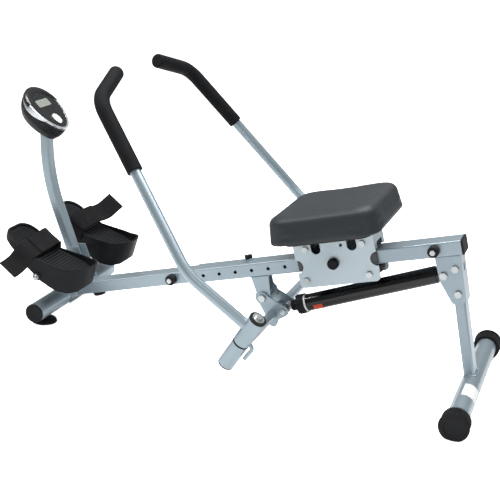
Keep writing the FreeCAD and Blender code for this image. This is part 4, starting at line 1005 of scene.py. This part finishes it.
# %% [markdown]
# The pod's case is ribbed for grip where a hand turns it: short ribs cross the
# grooves of the moulding.

# %% Ribs on the case
bm = bmesh.new()
for angle in spread(math.radians(104), math.radians(256), 39):
    for deep in (0.0115, 0.0205, 0.0285):
        low = pod_spot(angle, -deep - 0.0030, 0.0)
        high = pod_spot(angle, -deep + 0.0030, 0.0)
        beside = pod_spot(angle + 0.01, -deep, 0.0) - pod_spot(angle - 0.01, -deep, 0.0)
        rise = (high - low).normalized()
        beside = (beside - rise * beside.dot(rise)).normalized()
        turn = Matrix((beside, rise, beside.cross(rise))).transposed()
        add_bar(bm, (low + high) / 2, turn, (0.0022, (high - low).length, 0.0022), 0.0005)
link_piece("console_ribs", bm, console_plastic, "front", smooth=False)
print("console ribs ready")

# %% [markdown]
# ### Display surround and button surround
# A black frame borders the display window, and a narrower one rings the button.
# Both start flat: a rounded panel whose middle is inset and removed, and a
# circle whose edge is drawn outward.

# %% Window frame
WINDOW_UP = 0.019
FACE_OUT = 0.003
bm = bmesh.new()
bmesh.ops.create_grid(bm, x_segments=1, y_segments=1, size=0.5)
bmesh.ops.scale(bm, vec=(0.074, 0.040, 1.0), verts=bm.verts)
bmesh.ops.bevel(bm, geom=bm.verts[:], offset=0.007, segments=6, profile=0.5,
                affect="VERTICES", material=-1)
bmesh.ops.inset_region(bm, faces=bm.faces[:], thickness=0.0082, use_boundary=True,
                       use_even_offset=True)
inner = max(bm.faces, key=lambda face: face.calc_area())
bmesh.ops.delete(bm, geom=[inner], context="FACES_ONLY")
for vertex in bm.verts:
    vertex.co = console_spot(vertex.co.x, vertex.co.y + WINDOW_UP, FACE_OUT)
frame_piece = link_piece("display_frame", bm, gloss_black, "front",
                         smooth=False)
wall = frame_piece.modifiers.new("frame_thickness", "SOLIDIFY")
wall.thickness = 0.0010
wall.offset = 0.0
print("window frame faces:", len(frame_piece.data.polygons))

# %% Button surround
BUTTON_UP = -0.036
bm = bmesh.new()
bmesh.ops.create_circle(bm, cap_ends=False, segments=64, radius=1.0)
for vertex in bm.verts:
    vertex.co = Vector((vertex.co.x * 0.0131, vertex.co.y * 0.0166, 0.0))
drawn = bmesh.ops.extrude_edge_only(bm, edges=bm.edges[:])["geom"]
outer = [item for item in drawn if isinstance(item, bmesh.types.BMVert)]
bmesh.ops.scale(bm, vec=(1.26, 1.20, 1.0), verts=outer)
for vertex in bm.verts:
    vertex.co = console_spot(vertex.co.x, vertex.co.y + BUTTON_UP, FACE_OUT)
bmesh.ops.recalc_face_normals(bm, faces=bm.faces[:])
surround = link_piece("button_surround", bm, gloss_black, "front")
wall = surround.modifiers.new("ring_thickness", "SOLIDIFY")
wall.thickness = 0.0016
wall.offset = 0.0
print("button surround faces:", len(surround.data.polygons))

# %% [markdown]
# ### Display segments
# Even when it is off, a liquid crystal display shows faint bars where its
# figures would be.  Seven bars make a figure, so four figures are four loops
# over the same seven places.

# %% Ghost figures
segment_tone = make_finish(
    "segment_tone", (0.17, 0.19, 0.165), (0.20, 0.22, 0.19), 0.0, 0.3,
    (0.2, 0.22, 0.19), 0.1, 0.02, 1800.0, 0.00001, edge_radius=0.0003, drift=50.0)
FIGURE_W, FIGURE_H, BAR = 0.0068, 0.0130, 0.0011
BARS = [(0, 1, 1), (0, 0, 1), (0, -1, 1), (-1, 0.5, 0), (1, 0.5, 0), (-1, -0.5, 0), (1, -0.5, 0)]
bm = bmesh.new()
flat_turn = Matrix((rail_across, console_up, console_out)).transposed()
for figure in range(4):
    middle = (figure - 1.5) * 0.0115
    for x_share, y_share, lying in BARS:
        size = (FIGURE_W - 0.0022, BAR, 0.0003) if lying else (BAR, FIGURE_H / 2 - 0.0018, 0.0003)
        spot = console_spot(middle + x_share * FIGURE_W / 2,
                            WINDOW_UP + y_share * FIGURE_H / 2, FACE_OUT + 0.0001)
        add_bar(bm, spot, flat_turn, size, 0.0001)
link_piece("display_figures", bm, segment_tone, "front", smooth=False)
print("display figures ready")

# %% [markdown]
# ## Rear end caps
# The rear feet are thick rubber cups with teeth all round, so that they can be
# gripped and turned while the machine is levelled.  A cylinder with many sides
# gets its teeth by drawing every second pair of sides inward, and its face is
# inset twice for the raised rim.

# %% Toothed caps
cap_low, cap_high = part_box("rear_caps")
bar_low, bar_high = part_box("rear_stabiliser")
bar_centre = (bar_low + bar_high) / 2
bar_radius = (bar_high.x - bar_low.x) / 2
cap_radius = (cap_high.x - cap_low.x) / 2
near_cap = [v.co.y for v in nodes["rear_caps"].data.vertices if v.co.y < 0]
cap_length = max(near_cap) - min(near_cap)
TEETH = 44
TOOTH_DEEP = 0.0030
bm = bmesh.new()
for side in (-1, 1):
    made = bmesh.ops.create_cone(bm, cap_ends=True, cap_tris=False, segments=TEETH * 4,
                                 radius1=cap_radius, radius2=cap_radius,
                                 depth=cap_length)["verts"]
    body_faces = list({face for vertex in made for face in vertex.link_faces})
    for vertex in made:
        step = round(math.atan2(vertex.co.y, vertex.co.x) / math.tau * TEETH * 4) % 4
        if step >= 2:
            vertex.co.x *= 1 - TOOTH_DEEP / cap_radius
            vertex.co.y *= 1 - TOOTH_DEEP / cap_radius
    face = next(face for face in body_faces if len(face.verts) > 8 and face.normal.z < -0.5)
    inset = bmesh.ops.inset_region(bm, faces=[face], thickness=0.0035, depth=0.0022)["faces"]
    inset += bmesh.ops.inset_region(bm, faces=[face], thickness=0.0030, depth=0.0006)["faces"]
    inset += bmesh.ops.inset_region(bm, faces=[face], thickness=0.0040, depth=-0.0022)["faces"]
    whole = list(set(made) | {vertex for item in inset + [face] for vertex in item.verts})
    turn = Matrix.Rotation(math.radians(90.0) * side, 4, "X")
    middle = side * (cap_high.y - cap_length / 2 - 0.0028)
    place = Matrix.Translation((bar_centre.x, middle, bar_centre.z))
    bmesh.ops.transform(bm, matrix=place @ turn, verts=whole)
for vertex in bm.verts:
    vertex.co.z = max(vertex.co.z, 0.0)
bmesh.ops.recalc_face_normals(bm, faces=bm.faces[:])
caps = link_piece("rear_cap_cups", bm, black_rubber, "frame", smooth=False)
softened = caps.modifiers.new("soft_teeth", "BEVEL")
softened.width = 0.0006
softened.segments = 1
softened.limit_method = "ANGLE"
softened.angle_limit = math.radians(50)
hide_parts("rear_caps")
print("cap radius, mm:", round(cap_radius * 1000, 1))

# %% [markdown]
# ## Stickers
# A small red patch marks the pressure side of the cylinder, and a blank white
# sticker sits on the rear crossbar.  Each is a skin wrapped on its tube.

# %% Sticker finishes
red_sticker = make_finish(
    "red_sticker", (0.52, 0.045, 0.012), (0.62, 0.065, 0.018), 0.0, 0.35,
    (0.7, 0.15, 0.08), 0.3, 0.03, 900.0, 0.00002, edge_radius=0.0004, drift=60.0)
white_sticker = make_finish(
    "white_sticker", (0.78, 0.78, 0.76), (0.84, 0.84, 0.83), 0.0, 0.42,
    (0.6, 0.6, 0.58), 0.3, 0.05, 900.0, 0.00002, edge_radius=0.0004, drift=40.0)

# %% Red patch on the cylinder
cylinder_pivot = Vector(joints["cylinder_tilt"]["pos_m"])
cylinder_ahead = Vector(joints["rod_slide"]["axis"]).normalized()
cylinder_top = cylinder_ahead.cross(rail_across)
if cylinder_top.z < 0:
    cylinder_top = -cylinder_top
barrel_low, barrel_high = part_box("cylinder_barrel")
barrel_radius = (barrel_high.y - barrel_low.y) / 2


def barrel_spot(along, angle, proud):
    """A point on the barrel: angle from the top, round by the near side."""
    around = cylinder_top * math.cos(angle) - rail_across * math.sin(angle)
    return cylinder_pivot + cylinder_ahead * along + around * (barrel_radius + proud)


patch_rows = [[barrel_spot(along, angle, 0.0001)
               for angle in spread(math.radians(102), math.radians(166), 13)]
              for along in spread(0.317, 0.341, 5)]
lay_skin("cylinder_patch", patch_rows,
         lambda spot: barrel_spot(0.329, math.radians(135), 1.0) - spot,
         0.0003, red_sticker, "cylinder")

# %% White sticker on the rear crossbar


def crossbar_spot(across, angle, proud):
    """A point on the rear crossbar: angle from the top toward the rear."""
    return bar_centre + Vector(((bar_radius + proud) * math.sin(angle), across,
                                (bar_radius + proud) * math.cos(angle)))


sticker_rows = [[crossbar_spot(across, angle, 0.0001)
                 for angle in spread(math.radians(-20), math.radians(78), 19)]
                for across in spread(-0.134, -0.072, 5)]
lay_skin("crossbar_sticker", sticker_rows,
         lambda spot: crossbar_spot(-0.10, math.radians(30), 1.0) - spot,
         0.0003, white_sticker, "frame")
print("stickers ready")

# %% [markdown]
# ## Weld bead
# The leg stands on the round crossbar, and its foot is welded all round.  The
# bead follows the line where a rounded rectangle meets a cylinder.  A closed
# tube of small ripples is laid along it, as a welder's row of puddles is.

# %% Ripple tube


def lay_bead(name, line, outward, radius, body, ripples=2.0):
    """A closed rippled bead along a closed line of points."""
    around = 10
    count = len(line)
    bm = bmesh.new()
    bmesh.ops.create_grid(bm, x_segments=count, y_segments=around, size=0.5)
    for vertex in bm.verts:
        row = round((vertex.co.x + 0.5) * count) % count
        column = round((vertex.co.y + 0.5) * around) % around
        ahead = (line[(row + 1) % count] - line[row - 1]).normalized()
        out = outward(line[row])
        out = (out - ahead * out.dot(ahead)).normalized()
        beside = ahead.cross(out)
        ripple = 0.82 + 0.18 * abs(math.sin(math.pi * row / ripples))
        ripple += 0.06 * noise.noise(line[row] * 400)
        angle = math.tau * column / around
        vertex.co = line[row] + (out * math.cos(angle) + beside * math.sin(angle)) * (
            radius * ripple)
    bmesh.ops.remove_doubles(bm, verts=bm.verts, dist=0.00001)
    bmesh.ops.recalc_face_normals(bm, faces=bm.faces[:])
    return link_piece(name, bm, silver_paint, body)


leg_high = extent("leg_tube", TO_RAIL)[1]
top_spots = [TO_RAIL @ v.co for v in nodes["leg_tube"].data.vertices]
top_spots = [spot for spot in top_spots if spot.z > leg_high.z - 0.002]
leg_top = FROM_RAIL @ Vector((sum(spot.x for spot in top_spots) / len(top_spots), 0.0,
                              leg_high.z))
leg_way = (leg_top - Vector((bar_centre.x, 0.0, bar_centre.z))).normalized()
leg_side = rail_across.cross(leg_way)
LEG_HALF_U = 0.013
LEG_HALF_Y = 0.0235
BEAD_STEPS = 160
BEAD_RADIUS = 0.0030
CORNER_POWER = 0.22


def squared(share):
    """A sine or cosine pushed outwards, so that a circle turns into a rounded square."""
    return math.copysign(abs(share) ** CORNER_POWER, share)


leg_line = []
for step in range(BEAD_STEPS):
    angle = math.tau * step / BEAD_STEPS
    side = LEG_HALF_U * squared(math.cos(angle))
    across = LEG_HALF_Y * squared(math.sin(angle))
    rise = math.sqrt(bar_radius ** 2 - side ** 2)
    leg_line.append(Vector((bar_centre.x, across, bar_centre.z))
                    + leg_way * rise + leg_side * side)
leg_weld = lay_bead("leg_foot_weld", leg_line,
                    lambda spot: spot - Vector((bar_centre.x, 0.0, bar_centre.z)),
                    BEAD_RADIUS, "frame")
print("weld bead faces:", len(leg_weld.data.polygons))

# %% Sizes and finish


def plain(value):
    """Nested lists of numbers from vectors or tuples."""
    if isinstance(value, (int, float)):
        return float(value)
    return [plain(item) for item in value]


{"cad": plain(cad_box), "visual": plain(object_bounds())}
